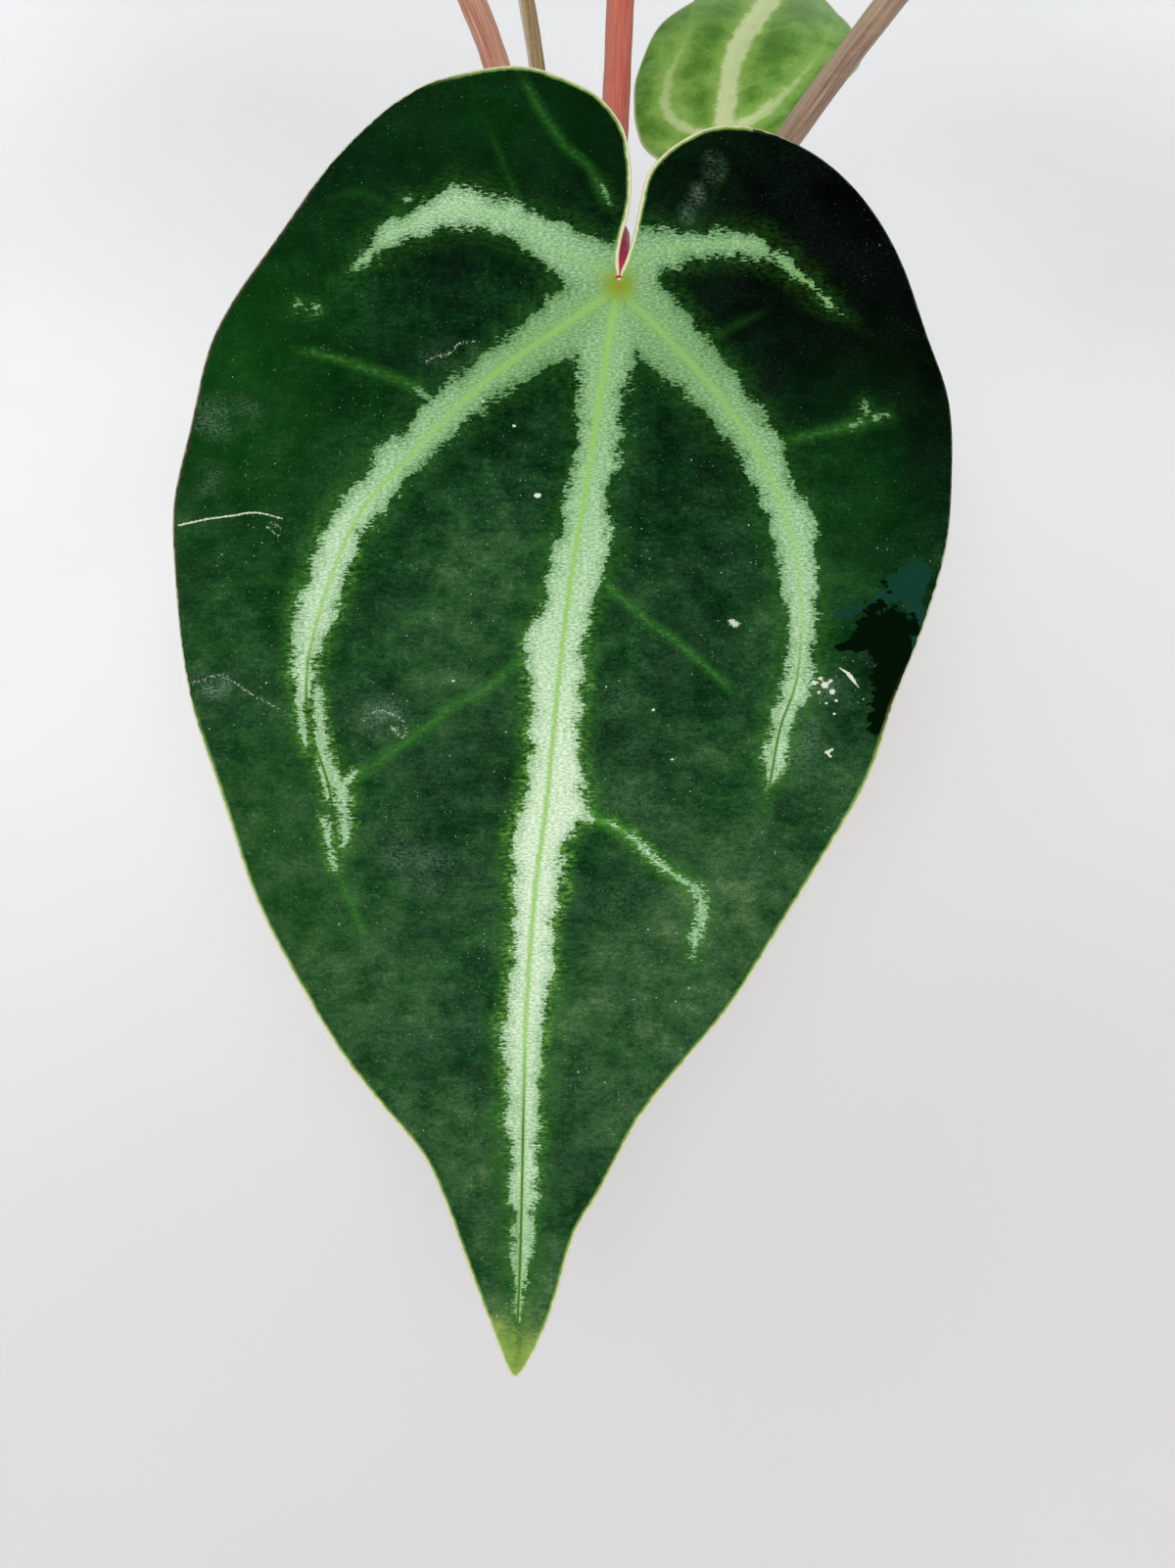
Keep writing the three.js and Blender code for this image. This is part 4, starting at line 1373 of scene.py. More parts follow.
@dataclass(frozen=True)
class Stroke:
    """A fine line on a blade, as wide as its half widths say from its start to its end."""

    points: tuple[Point, ...]
    half_widths: Point
    strength: float = 1.0

    def across(self, places: Array) -> tuple[Array, Array, Array, float]:
        """Finds places on the stroke.

        Args:
            places: points of the leaf's plane.

        Returns:
            Distance from the stroke, way along it, its half width there, and its length.
        """
        trail = Trail.smooth(self.points, STROKE_STEP)
        gap, reach, _ = trail.nearest(places)
        length = trail.reach[-1]
        shares = np.linspace(0, 1, len(self.half_widths))
        return gap, reach, np.interp(reach / length, shares, self.half_widths), length

    def glow_at(self, places: Array) -> Array:
        """How strongly the stroke glows: its strength in the middle, fading evenly to its edge.

        Args:
            places: points of the leaf's plane.

        Returns:
            Strength at each place.
        """
        gap, reach, half_width, length = self.across(places)
        ends = np.clip(reach / 3, 0.3, 1) * np.clip((length - reach) / 4, 0, 1)
        return self.strength * ends * np.clip(1 - gap / half_width, 0, 1)

    def depth_at(self, places: Array) -> Array:
        """How deep places lie inside the stroke, in millimetres; below 0 outside."""
        gap, _, half_width, _ = self.across(places)
        return half_width - gap


def deepest(strokes: tuple[Stroke, ...], places: Array) -> tuple[Array, Array]:
    """Finds how deep places lie in the nearest of some strokes.

    Args:
        strokes: the strokes, or none.
        places: points of the leaf's plane.

    Returns:
        Depth, FAR_OUTSIDE at least, and that stroke's strength.
    """
    if not strokes:
        return np.full(len(places), FAR_OUTSIDE), np.ones(len(places))
    depths = np.array([stroke.depth_at(places) for stroke in strokes])
    strengths = np.array([stroke.strength for stroke in strokes])
    return np.maximum(depths.max(0), FAR_OUTSIDE), strengths[depths.argmax(0)]


@dataclass(frozen=True)
class BladeShape:
    """Outline, veins and markings of one kind of blade, in the blade's own plane."""

    length: float
    outline: tuple[Point, ...]
    veins: tuple[tuple[Point, ...], ...]
    bands: tuple[Band, ...]
    side_veins: tuple[Stroke, ...] = ()
    flecks: tuple[Stroke, ...] = ()


MATURE_BANDS = (
    Band(((0, 4, 4), (8, 3.0, 3.2), (16, 2.0, 2.1), (24, 1.9, 2.0), (29.5, 3.3, 2.0), (33, 2.1, 1.7),
          (38, 1.5, 1.3), (43, 0.9, 0.6), (47.5, 0.2, 0.0), (51, -1.4, -1.4),
          (59, -5, -5)),
         ((0, 0.5), (20, 0.60), (30, 0.66), (50, 0.58))),
    Band(((0, 5, 5), (10, 4, 4.9), (20, 2.8, 3), (28, 2.4, 2.2), (34, 2.6, 1.7), (39, 3.4, 1.7),
          (43, 2.6, 1.5), (48, 3.3, 1.6), (55, 2.6, 2.2), (63, 3.8, 1.5), (69.5, 3.2, 1.9), (76, 3.5, 2.5),
          (82, 2.4, 1.2),
          (88.5, 1.5, 0.65), (92, -0.5, -0.5), (97, -3, -3), (160, -6, -6)),
         ((0, 0.45), (20, 0.425), (45, 0.58), (65, 0.77), (80, 0.78), (90, 0.82)), 76, 0.8),
    Band(((0, 5, 5), (12, 4.1, 4), (22, 2.3, 2.4), (29, 1.5, 4.1), (35, 2.3, 2.7), (42, 2.1, 4.9),
          (48, 3.2, 4.9), (55, 3.6, 3.7), (62, 6, 3.1), (68, 4.2, 3.9), (75, 3.5, 3.8), (81, 2.8, 4.6),
          (88, 3.5, 6.3), (94.5, 4.7, 3.5), (101, 3.5, 3.7), (108, 2.9, 3.2), (114.5, 2.5, 3.6),
          (121, 2.5, 3.5), (128, 3.9, 2.6), (135, 2.7, 2.4), (142, 2.6, 2.0), (149, 1.8, 2.4),
          (159.5, 1.2, 1.7), (169, 0.8, 0.9), (177, 0.0, 0.0),
          (190, -3, -3)),
         ((0, 0.5), (25, 0.56), (52, 0.72), (80, 0.86), (105, 0.88), (130, 0.82), (170, 0.72)), 128, 1.0),
    Band(((0, 5, 5), (10, 4.5, 4.2), (20, 3.3, 3.4), (28, 2.6, 2.9), (34, 1.9, 2.7), (37, 1.8, 3.4),
          (43, 2.5, 1.8), (47, 2.2, 2.6), (51, 2, 3.8), (54, 2.2, 2.6), (57.5, 2.5, 2.4), (64, 2.3, 1.6),
          (70.5, 1.2, 1.8), (77, 1.8, 1.8), (84, 1, 1), (88, 1.2, 1.6), (90.5, 1.4, 1.6), (93, 0.3, 0.4),
          (96, -1, -1),
          (104, -4, -4)),
         ((0, 0.45), (20, 0.41), (40, 0.55), (60, 0.67), (85, 0.76)), 66, 0.6),
    Band(((0, 5, 5), (7, 2.8, 2.6), (12, 1.3, 1.3), (18, 0.8, 0.9), (23, 0.9, 0.8), (26, 0.6, 0.1),
          (30, -0.3, -0.2), (35, -0.6, -0.4), (40, -1.0, -0.9), (43, -2, -2),
          (51, -5, -5)),
         ((0, 0.5), (15, 0.50), (35, 0.56))),
)

# Side veins that show as green lines in the velvet, the clear ones first.
MATURE_SIDE_VEINS = (
    Stroke(((-13.5, 61), (-18, 64.5), (-23, 68.5), (-28, 71), (-32.5, 74.5), (-38, 78.5), (-43, 82),
            (-47, 84.5)), (1.5, 2.0, 1.8), 0.68),
    Stroke(((-4, 49.5), (0, 52.5), (4.5, 56.5), (9.5, 60), (13.5, 63.5), (17.5, 67), (19.5, 70)),
           (1.5, 1.5, 1.2), 0.75),
    Stroke(((-10.5, 83.5), (-7, 86.5), (-2.5, 90), (1.5, 92), (4.5, 95), (8, 98), (11, 100), (13, 103)),
           (2.2, 2.0, 1.9), 1.0),
    Stroke(((-32, 19), (-36, 17), (-40, 15.5), (-46, 13.5), (-51, 12), (-55, 12)), (1.8, 1.5, 1.2), 0.7),
    Stroke(((27, 27.5), (29.5, 26.5), (34, 25.5), (38, 24.5), (42, 23.5), (44.5, 23.5)), (1.5, 1.6, 1.5),
           0.7),
    Stroke(((9.5, 10), (13, 10), (16.5, 9.5), (20.5, 7.5), (25.5, 5)), (1.3, 1.3, 1.0), 0.24),
    Stroke(((-16.5, -33.5), (-14, -29), (-11.5, -25), (-8.5, -21), (-5, -18), (-3, -14), (-1.5, -11)),
           (1.2, 1.5, 1.3), 0.55),
    Stroke(((-47.5, 97.5), (-46.5, 100.5), (-45, 104.5), (-43.5, 108.5), (-42.5, 112.5)), (1.6, 1.6, 1.2),
           0.7),
    Stroke(((-6, 38), (-14, 44), (-24, 50), (-36, 58), (-48, 66)), (1.3, 1.3, 1.0), 0.25),
    Stroke(((-14, 102), (-22, 108), (-32, 116), (-42, 122)), (1.3, 1.3, 1.0), 0.28),
    Stroke(((-15.5, 135), (-22, 141), (-28, 147)), (1.2, 1.0), 0.25),
    Stroke(((-14.5, 118), (-6, 124), (2, 130), (8, 134)), (1.3, 1.0), 0.28),
    Stroke(((-16, 146), (-10, 151), (-5, 154)), (1.2, 1.0), 0.22),
    Stroke(((-49, 52), (-56, 50), (-64, 50), (-70, 52)), (1.3, 1.0), 0.28),
    Stroke(((-51, 75), (-57, 78), (-64, 84)), (1.3, 1.0), 0.25),
    Stroke(((30.4, 50), (38, 50), (46, 54)), (1.3, 1.0), 0.28),
    Stroke(((27, 76), (34, 80), (40, 82)), (1.3, 1.0), 0.25),
    Stroke(((-14, -8), (-18, -16), (-22, -26)), (1.2, 1.0), 0.25),
    Stroke(((-34, -9), (-42, -14), (-50, -13)), (1.2, 1.0), 0.22),
    Stroke(((12, -5), (15, -12), (19, -20)), (1.2, 1.0), 0.1),
)

# Loose silver bits beside the bands.
MATURE_FLECKS = (
    Stroke(((-50.5, 68), (-50, 74), (-49.5, 79), (-48, 83), (-46.5, 85.5), (-46, 90), (-46.5, 94.5)),
           (0.8, 1.0, 1.3, 1.1, 0.4)),
    Stroke(((-46, 83.5), (-44.5, 82)), (0.7, 0.2)),
    Stroke(((-53.5, 65.5), (-53.5, 69.5), (-53, 74), (-52.5, 78)), (0.8, 0.7, 0.2)),
    Stroke(((-49.5, 83.5), (-49, 86)), (0.5, 0.4)),
    Stroke(((-49.5, 90), (-49, 93.5), (-48, 97.5)), (0.5, 0.4)),
    Stroke(((12.6, 101), (14, 103), (14, 106), (13, 109), (12.4, 113)), (0.7, 1.0, 0.9, 0.3)),
    Stroke(((-2, 90), (1.5, 92), (4.5, 95), (8, 98), (11.6, 100.4)), (0.1, 0.35, 0.5)),
    Stroke(((-9, 83), (-5, 84.5)), (1.2, 0.4)),
    Stroke(((-8, 88), (-4.5, 89.5)), (1.2, 0.4)),
    Stroke(((38.5, 24.5), (40.5, 23.5)), (0.35, 0.3)),
    Stroke(((41, 20.5), (41, 22.5)), (0.35, 0.3)),
    Stroke(((42.5, 23), (44.5, 22.5)), (0.35, 0.3)),
    Stroke(((-3, -15), (-1.5, -12)), (0.3, 0.2)),
    Stroke(((-31, 20), (-33.5, 18.3)), (0.7, 0.4)),
    Stroke(((-27, -11.5), (-27.3, -14.8)), (1.0, 0.2)),
    Stroke(((-35.2, -13), (-34.8, -13)), (0.4, 0.4)),
    Stroke(((-53.7, 4), (-53.3, 4)), (0.5, 0.5)),
    Stroke(((-50.7, 4.5), (-50.3, 4.5)), (0.5, 0.5)),
)

MATURE_SHAPE = BladeShape(
    length=188.5,
    outline=(
        (0, 0), (-0.2, -3.5), (0.4, -7), (1.4, -10.5), (1.9, -15), (1.6, -20), (0.3, -25), (-3.5, -29.7),
        (-8.6, -32.2), (-17, -34.3), (-29, -33), (-36, -29.7), (-43, -23.5), (-51, -15), (-59, -4.5),
        (-65, 4.5), (-69, 12.5), (-71.8, 24), (-74.2, 36), (-74.4, 47.5), (-73.8, 59), (-71.8, 70),
        (-68.5, 81), (-63, 99), (-56.5, 113.5), (-49, 127.5), (-41, 138.2), (-34, 147), (-30.5, 154.5),
        (-26.5, 165.5), (-22.5, 177.5), (-19.8, 185.5), (-18, 188.5), (-15.5, 185), (-11.5, 175.5),
        (-7.5, 162), (-3.2, 154), (2, 143.5), (6, 137.5), (17.5, 123.5), (25.5, 111), (34, 97), (42, 82),
        (46.5, 69), (51, 56.5), (54.8, 43), (55.5, 31), (54.6, 19.5), (51.5, 9.5), (47, -2.5),
        (40.5, -12.5), (33, -20), (24.5, -24.2), (16, -24.6), (9.5, -21.7), (5.2, -17.5), (3.8, -13),
        (2.9, -8.5), (1.7, -4), (0, 0),
    ),
    veins=(
        ((0, 0), (-4, -1.7), (-10, -5), (-16.5, -9), (-24, -11.2), (-31, -10.3), (-38.5, -6.5), (-45, -1.2),
         (-53, 4.8), (-61.5, 9.5), (-69, 12.5)),
        ((0, 0), (-2.4, 3.2), (-10, 8.5), (-22, 17), (-33.5, 28), (-43, 38.5), (-48.7, 51), (-52, 63),
         (-52, 73.5), (-49, 83.5), (-47.6, 93), (-46.5, 105), (-43.8, 116), (-41.8, 128), (-41, 138.2)),
        ((0, 0), (-0.7, 4.5), (-3, 18.5), (-5, 32), (-8, 50), (-10.2, 68), (-12, 86.5), (-14, 101.5),
         (-15.6, 121.5), (-16.3, 145), (-17, 168.5), (-18, 188.5)),
        ((0, 0), (1.3, 3.4), (6.5, 8.5), (16.5, 19.5), (24.3, 31), (28.6, 42.5), (30.4, 54), (29.8, 66),
         (27, 74.5), (25.3, 84), (23, 97), (20, 110), (17.5, 123.5)),
        ((0, 0), (4.5, -3.8), (10.5, -4.9), (18, -5.6), (23.5, -4.9), (30, -0.4), (37.5, 6.3), (45, 10.8),
         (52.8, 13.5)),
    ),
    bands=MATURE_BANDS,
    side_veins=MATURE_SIDE_VEINS,
    flecks=MATURE_FLECKS,
)

YOUNG_SHAPE = BladeShape(
    length=63,
    outline=(
        (0, 0), (-0.6, -2.6), (-2.2, -5.8), (-5.2, -8), (-9, -7), (-12, -2.5), (-14, 5), (-16.2, 13),
        (-19.4, 21.5), (-22.8, 29.5), (-23.8, 36), (-21.4, 42.5), (-16.6, 49), (-10.4, 56), (-4, 63),
        (1.4, 58.6), (9, 52.2), (15.2, 45.4), (19.5, 37.8), (21.4, 28.5), (21.8, 17), (19.8, 6.4),
        (18, 1.4), (15, -4), (11.8, -7.4), (8, -9.6), (4.4, -8.4), (1.8, -5.4), (0.6, -2.4), (0, 0),
    ),
    veins=(
        ((0, 0), (-3.4, -1.4), (-6.8, -1.6), (-10, 0.2), (-12.2, 2.4), (-14, 5)),
        ((0, 0), (-2.6, 4.5), (-7.1, 10.8), (-9.9, 17), (-12.2, 23.3), (-14.2, 30), (-15.6, 37), (-16.6, 49)),
        ((0, 0), (0.8, 8), (1.7, 17), (2.2, 26), (0.9, 37), (-1.8, 50), (-4, 63)),
        ((0, 0), (5.4, 1.6), (10.6, 4), (13.4, 8), (14.6, 13.5), (14.7, 20), (14, 28), (13.8, 36),
         (15.2, 45.4)),
        ((0, 0), (3.4, -2.6), (7.4, -4), (11, -3.2), (14.2, -2.2), (16.9, -1)),
    ),
    bands=(
        Band(((0, 0.8, 0.8), (10, 0.5, 0.5), (14, -0.6, -0.6)), ((0, 0.6), (12, 0.35))),
        Band(((0, 1.4, 1.4), (14, 1.3, 1.3), (24, 0.6, 0.6), (34, -0.3, -0.3), (50, -2, -2)),
             ((0, 0.9), (24, 0.5))),
        Band(((0, 1.8, 1.8), (10, 2.0, 2.0), (30, 2.3, 2.3), (48, 2.4, 2.4), (60, 0.8, 0.8), (64, -1, -1)),
             ((0, 0.9), (60, 1.0))),
        Band(((0, 1.4, 1.4), (16, 1.1, 1.1), (32, 0.5, 0.5), (42, -0.4, -0.4), (50, -2, -2)),
             ((0, 0.8), (32, 0.4))),
        Band(((0, 0.8, 0.8), (10, 0.5, 0.5), (14, -0.6, -0.6)), ((0, 0.6), (12, 0.35))),
    ),
    side_veins=(
        Stroke(((1, 14), (-4, 19), (-10, 24)), (0.7, 0.5), 0.7),
        Stroke(((2, 22), (7, 26), (12, 29)), (0.7, 0.5), 0.7),
        Stroke(((1.5, 32), (-5, 38), (-12, 42)), (0.7, 0.5), 0.7),
        Stroke(((0.5, 38), (6, 42), (11, 44)), (0.7, 0.5), 0.7),
        Stroke(((-11, 21), (-16, 22), (-19, 25)), (0.6, 0.5), 0.55),
        Stroke(((14.6, 15), (18, 14), (20.5, 15)), (0.6, 0.5), 0.55),
        Stroke(((-14, 31), (-18, 33), (-21, 37)), (0.6, 0.5), 0.55),
        Stroke(((14, 28), (17, 30), (19.5, 34)), (0.6, 0.5), 0.55),
    ),
)


@dataclass(frozen=True)
class Leaf:
    """One leaf: its blade's place and bends, and its stalk's path with a radius at each point."""

    name: str
    shape: BladeShape
    scale: float
    mirror: int
    joint: Point
    yaw: float
    pitch: float
    droop: float
    side: float
    wave: float
    waves: int
    stalk: tuple[Point, ...]
    radii: Point
    skin: StalkFinish
    grid: float = 0.95
    grid_below: float = 1.4
    shift: float = 0.0
    marks: bool = False

    def posture(self) -> Matrix:
        """Turns the blade's own directions into the plant's."""
        turn, tilt = math.radians(self.yaw), math.radians(self.pitch)
        return Matrix.Rotation(turn, 3, "Z") @ Matrix.Rotation(tilt, 3, "X")


@dataclass(frozen=True)
class BladeSizes:
    """Reliefs and spreads that every blade shares, in millimetres, and shares of them."""

    thickness: float = 0.85
    midrib_depth: float = 1.7
    basal_rib_depth: float = 1.1
    rib_taper: float = 0.75
    rib_width: float = 1.8
    quilt: float = 1.5
    quilt_reach: float = 9.0
    side_span: float = 0.36
    calm_joint: float = 33.0
    groove: float = 0.14
    groove_width: float = 0.7
    valley: float = 0.16
    valley_width: float = 1.0
    side_rib: float = 0.35
    side_rib_width: float = 0.8
    edge_curl: float = 0.25
    curl_width: float = 1.6
    thin_margin: float = 1.5
    swell: float = 0.35
    swell_across: float = 17.0
    swell_along: float = 21.0
    rim_bulge: float = 0.12
    notch_lip: float = 0.10
    lip_reach: float = 17.0
    outline_step: float = 0.7
    vein_step: float = 0.8
    mark_step: float = 0.35
    # Reaches of the markings round the stalk joint and of the dark line in the lower midrib.
    heart_reach: float = 3.0
    warm_reach: float = 46.0
    dark_core_fade: float = 16.0


def near(distance: Array, width: float) -> Array:
    """How near something is: 1 at a distance of 0, fading away over a width."""
    return np.exp(-((distance / width) ** 2))


def ovals(places: Array, patches: tuple[Point, ...]) -> Array:
    """Adds up soft oval patches.

    Args:
        places: points of the leaf's plane.
        patches: strength, centre and reaches across and along of each patch.

    Returns:
        The sum at each place.
    """
    u, v = places.T
    total = np.zeros(len(places))
    for strength, u0, v0, across, along in patches:
        total += strength * np.exp(-(((u - u0) / across) ** 2 + ((v - v0) / along) ** 2))
    return total


class Blade:
    """A blade with its velvet face, underside and rim, as one closed mesh."""

    def __init__(self, leaf: Leaf, sizes: BladeSizes) -> None:
        """Draws the outline and the veins.

        Args:
            leaf: the leaf's place and bends.
            sizes: shared reliefs.
        """
        self.leaf = leaf
        self.sizes = sizes
        self.size = leaf.shape.length / MATURE_SHAPE.length
        step = sizes.outline_step * max(self.size, 0.5)
        self.edge = Trail.smooth(leaf.shape.outline, step)
        self.veins = [Trail.smooth(vein, sizes.vein_step) for vein in leaf.shape.veins]
        self.side_veins = [Trail.smooth(vein.points, sizes.vein_step) for vein in leaf.shape.side_veins]

    def measure(self, places: Array) -> dict[str, Array]:
        """Distances that the heights and the markings are worked out from.

        Args:
            places: points of the leaf's plane.

        Returns:
            Arrays by name, one number a place.
        """
        found = [vein.nearest(places) for vein in self.veins]
        gaps = np.array([gap for gap, _, _ in found])
        nearest = gaps.argmin(0)
        reach = np.array([along for _, along, _ in found])[nearest, np.arange(len(places))]
        length = np.array([vein.reach[-1] for vein in self.veins])[nearest]
        margin, mark, _ = self.edge.nearest(places)
        bands, brightness = [], []
        for band, (gap, along, side) in zip(self.leaf.shape.bands, found):
            left, right = (np.interp(along, *self.column(band, which)) for which in (1, 2))
            bands.append(np.where(side > 0, left, right) - gap)
            brightness.append(np.interp(along, *zip(*band.brightness)))
        return {
            "gap": gaps.min(0), "vein": nearest, "reach": reach, "along": reach / length, "margin": margin,
            "mark": mark / self.edge.reach[-1], "bands": np.array(bands), "brightness": np.array(brightness),
            "radius": np.linalg.norm(places, axis=1),
            "side_gap": np.min([vein.nearest(places)[0] for vein in self.side_veins], axis=0),
        }

    @staticmethod
    def column(band: Band, which: int) -> tuple[list[float], list[float]]:
        """Ways along a band and its half widths on one side."""
        return [row[0] for row in band.widths], [row[which] for row in band.widths]

    def heights(self, places: Array, known: dict[str, Array]) -> tuple[Array, Array]:
        """Heights of the upper and the lower face over the blade's plane.

        Args:
            places: points of the leaf's plane.
            known: their measures.

        Returns:
            Upper and lower heights, in millimetres.
        """
        leaf, sizes = self.leaf, self.sizes
        u, v = places.T
        gap, side_gap, margin, radius = (known[name] for name in ("gap", "side_gap", "margin", "radius"))
        droop = -leaf.droop * (np.maximum(v, 0) / leaf.shape.length) ** 2
        side = -leaf.side * (u / (sizes.side_span * leaf.shape.length)) ** 2
        between_veins = 1 - near(gap, self.size * sizes.quilt_reach)
        quilt = sizes.quilt * self.size * between_veins
        outwards = radius / (radius + margin + 1e-9)
        calm = np.minimum(1, radius / (sizes.calm_joint * self.size)) ** 6
        wave = leaf.wave * outwards**6 * calm * np.sin(2 * math.pi * leaf.waves * known["mark"])
        across, along = u / (sizes.swell_across * self.size), v / (sizes.swell_along * self.size)
        swell = np.sin(across + 0.8 + leaf.shift) * np.sin(along + 1.7 * leaf.shift)
        smooth = (droop + side + quilt + wave) * leaf.scale + sizes.swell * self.size * swell * between_veins
        smooth = smooth - sizes.edge_curl * near(margin, sizes.curl_width)
        groove = sizes.groove * near(gap, sizes.groove_width)
        valley = sizes.valley * near(side_gap, sizes.valley_width)
        depth = np.where(known["vein"] == Vein.MIDRIB, sizes.midrib_depth, sizes.basal_rib_depth)
        near_vein = near(gap, sizes.rib_width)
        rib = depth * (1 - sizes.rib_taper * known["along"]) * near_vein * (self.size + 1) / 2
        side_rib = sizes.side_rib * self.size * near(side_gap, sizes.side_rib_width)
        from_margin = np.clip(margin / sizes.thin_margin, 0, 1)
        thickness = sizes.thickness * (0.7 + 0.3 * from_margin)
        ribs = (rib + side_rib) * (0.3 + 0.7 * from_margin)
        return smooth - groove - valley, smooth - thickness - ribs

    def paint(self, places: Array, known: dict[str, Array]) -> dict[str, Array]:
        """Markings of the blade, as vectors for the finishes.

        Args:
            places: points of the leaf's plane.
            known: their measures.

        Returns:
            Vectors by attribute name.
        """
        leaf, shape, sizes = self.leaf, self.leaf.shape, self.sizes
        u, v = places.T
        weight = np.exp(1.2 * np.clip(known["bands"], -20, 6))
        bright = (weight * known["brightness"]).sum(0) / weight.sum(0)
        cored = (weight * np.array([[band.core] for band in shape.bands])).sum(0) / weight.sum(0)
        depth = known["bands"].max(0)
        if shape is MATURE_SHAPE:
            depth = depth + 0.25 + 0.95 * np.clip((0.82 - bright) / 0.32, 0, 1)
        fleck = deepest(shape.flecks, places)[0]
        glow = np.max([stroke.glow_at(places) for stroke in shape.side_veins], axis=0)
        dark_from = np.array([band.dark_from for band in shape.bands])[known["vein"]]
        lower_core = np.clip((known["reach"] - dark_from) / sizes.dark_core_fade, 0, 1)
        heart = near(np.hypot(u, v - 1.2), sizes.heart_reach)
        warmth = near(known["radius"], sizes.warm_reach) * np.clip((v + 7) / 10, 0.2, 1)
        if shape is YOUNG_SHAPE:
            tone = 0.44 + 0.03 * np.clip(u / 20, -1, 1) - 0.12 * np.clip(known["gap"] / 6, 0, 1)
            # The young blade's painted sheen grows towards its tip.
            sheen_haze, lush, rim, shade = 0.45 * np.clip((v - 34) / 22, 0, 1), 0 * u, 0 * u, 0 * u
        else:
            tone, sheen_haze, lush, rim, shade = self.velvet(places, known)
        marked = (BRUISE_STROKES, TEAL_STROKES, SCAR_STROKES) if leaf.marks else ((), (), ())
        (bruise, _), (teal, _), (scar, strength) = (deepest(strokes, places) for strokes in marked)
        # Patches of painted sheen on the main blade.
        for centre, radii, force in SHEEN_PATCHES if leaf.marks else ():
            sheen_haze = np.maximum(sheen_haze, force * self.patch(places, centre, radii))
        grain = places + np.array([37.0, 19.0]) * leaf.shift
        return {
            "leaf_place": np.column_stack([grain, known["margin"]]),
            "leaf_silver": np.column_stack([depth, bright, glow]),
            "leaf_core": np.column_stack([known["gap"], lower_core, rim]),
            "leaf_ground": np.column_stack([tone, sheen_haze, bruise]),
            "leaf_marks": np.column_stack([teal, scar, strength]),
            "leaf_heart": np.column_stack([heart, warmth, lush]),
            "leaf_fleck": np.column_stack([fleck, cored, shade]),
        }

    @staticmethod
    def velvet(places: Array, known: dict[str, Array]) -> tuple[Array, ...]:
        """How the green of a mature blade changes over it, painted sheen and shade included.

        Args:
            places: points of the leaf's plane.
            known: their measures.

        Returns:
            Tone, which lightens towards the tip partly as painted sheen; the share of painted sheen;
            lushness; the kind of margin (-1 purplish, 1 cream); and how much the margin line is dimmed where
            the right lobe is painted dark as shade.
        """
        u, v = places.T
        # Lighter towards the tip, partly as painted sheen on the drooping lower half.
        tone = 0.24 + 0.0020 * np.clip(v, -20, 110) + 0.60 * np.clip((v - 168) / 16, 0, 1.2) ** 2
        tone = tone + ovals(places, TONE_PATCHES)
        # Painted sheen over the lower half of the blade.
        sheen_haze = 0.03 + 0.13 * np.clip((v - 30) / 70, 0, 1) * np.clip((178 - v) / 24, 0, 1)
        lush = np.clip(ovals(places, LUSH_PATCHES), 0, 1)
        lower = np.clip((v - 60) / 40, 0, 1)
        notch = near(known["radius"], 22) + np.clip(-(v + 14) / 8, 0, 0.3) * (u < 22)
        plum = np.clip((-u - 20) / 20, 0, 1) * np.clip((70 - v) / 30, 0, 1)
        # The margin line is dimmed over the right lobe, which is painted dark as shade.
        dark = np.clip((u - 20) / 15, 0, 1) * np.clip((60 - v) / 30, 0, 1)
        return tone, sheen_haze, lush, np.clip(lower + 2.4 * notch * (1 - dark) - plum, -1, 2), dark

    @staticmethod
    def patch(places: Array, centre: Point, radii: Point) -> Array:
        """A soft oval patch: 1 at its centre, 0 outside."""
        u, v = ((places - np.array(centre)) / np.array(radii)).T
        return np.clip(1.3 * (1 - np.hypot(u, v)), 0, 1)

    def build(self, face: Material, underside: Material) -> Object:
        """Builds the closed blade with its two finishes and its markings.

        Args:
            face: finish of the upper face and the rim.
            underside: finish of the lower face.

        Returns:
            The blade.
        """
        leaf, sizes = self.leaf, self.sizes
        ring = self.edge.points[:-1]
        fine = (SCAR_STROKES if leaf.marks else ()) + (leaf.shape.flecks if leaf.grid < 0.9 else ())
        marks = [Trail.smooth(stroke.points, sizes.mark_step) for stroke in fine]
        upper, upper_faces, upper_ring = fill_outline(ring, self.veins + self.side_veins + marks, leaf.grid)
        lower, lower_faces, lower_ring = fill_outline(ring, self.veins, leaf.grid_below)
        run = np.roll(ring, -1, axis=0) - np.roll(ring, 1, axis=0)
        away = np.column_stack([-run[:, 1], run[:, 0]]) / np.linalg.norm(run, axis=1)[:, None]
        turn = 1 if inside(ring, ring[:1] + 0.01 * away[:1])[0] else -1
        lip = sizes.rim_bulge + sizes.notch_lip * near(np.linalg.norm(ring, axis=1), sizes.lip_reach)[:, None]
        parts = (upper, ring - turn * away * lip, lower)
        known = [self.measure(part) for part in parts]
        tops, bottoms = zip(*(self.heights(part, item) for part, item in zip(parts, known)))
        heights = np.concatenate([tops[0], (tops[1] + bottoms[1]) / 2, bottoms[2]])
        plane = np.vstack(parts) * leaf.scale
        local = np.column_stack([plane[:, 0] * leaf.mirror, -plane[:, 1], heights])
        places = local @ np.array(leaf.posture()).T + np.array(leaf.joint)
        count = len(ring)
        mid_ring = [len(upper) + i for i in range(count)]
        low_ring = [len(upper) + count + i for i in lower_ring]
        sides = []
        for i in range(count):
            j = (i + 1) % count
            sides.append((upper_ring[i], upper_ring[j], mid_ring[j], mid_ring[i]))
            sides.append((mid_ring[i], mid_ring[j], low_ring[j], low_ring[i]))
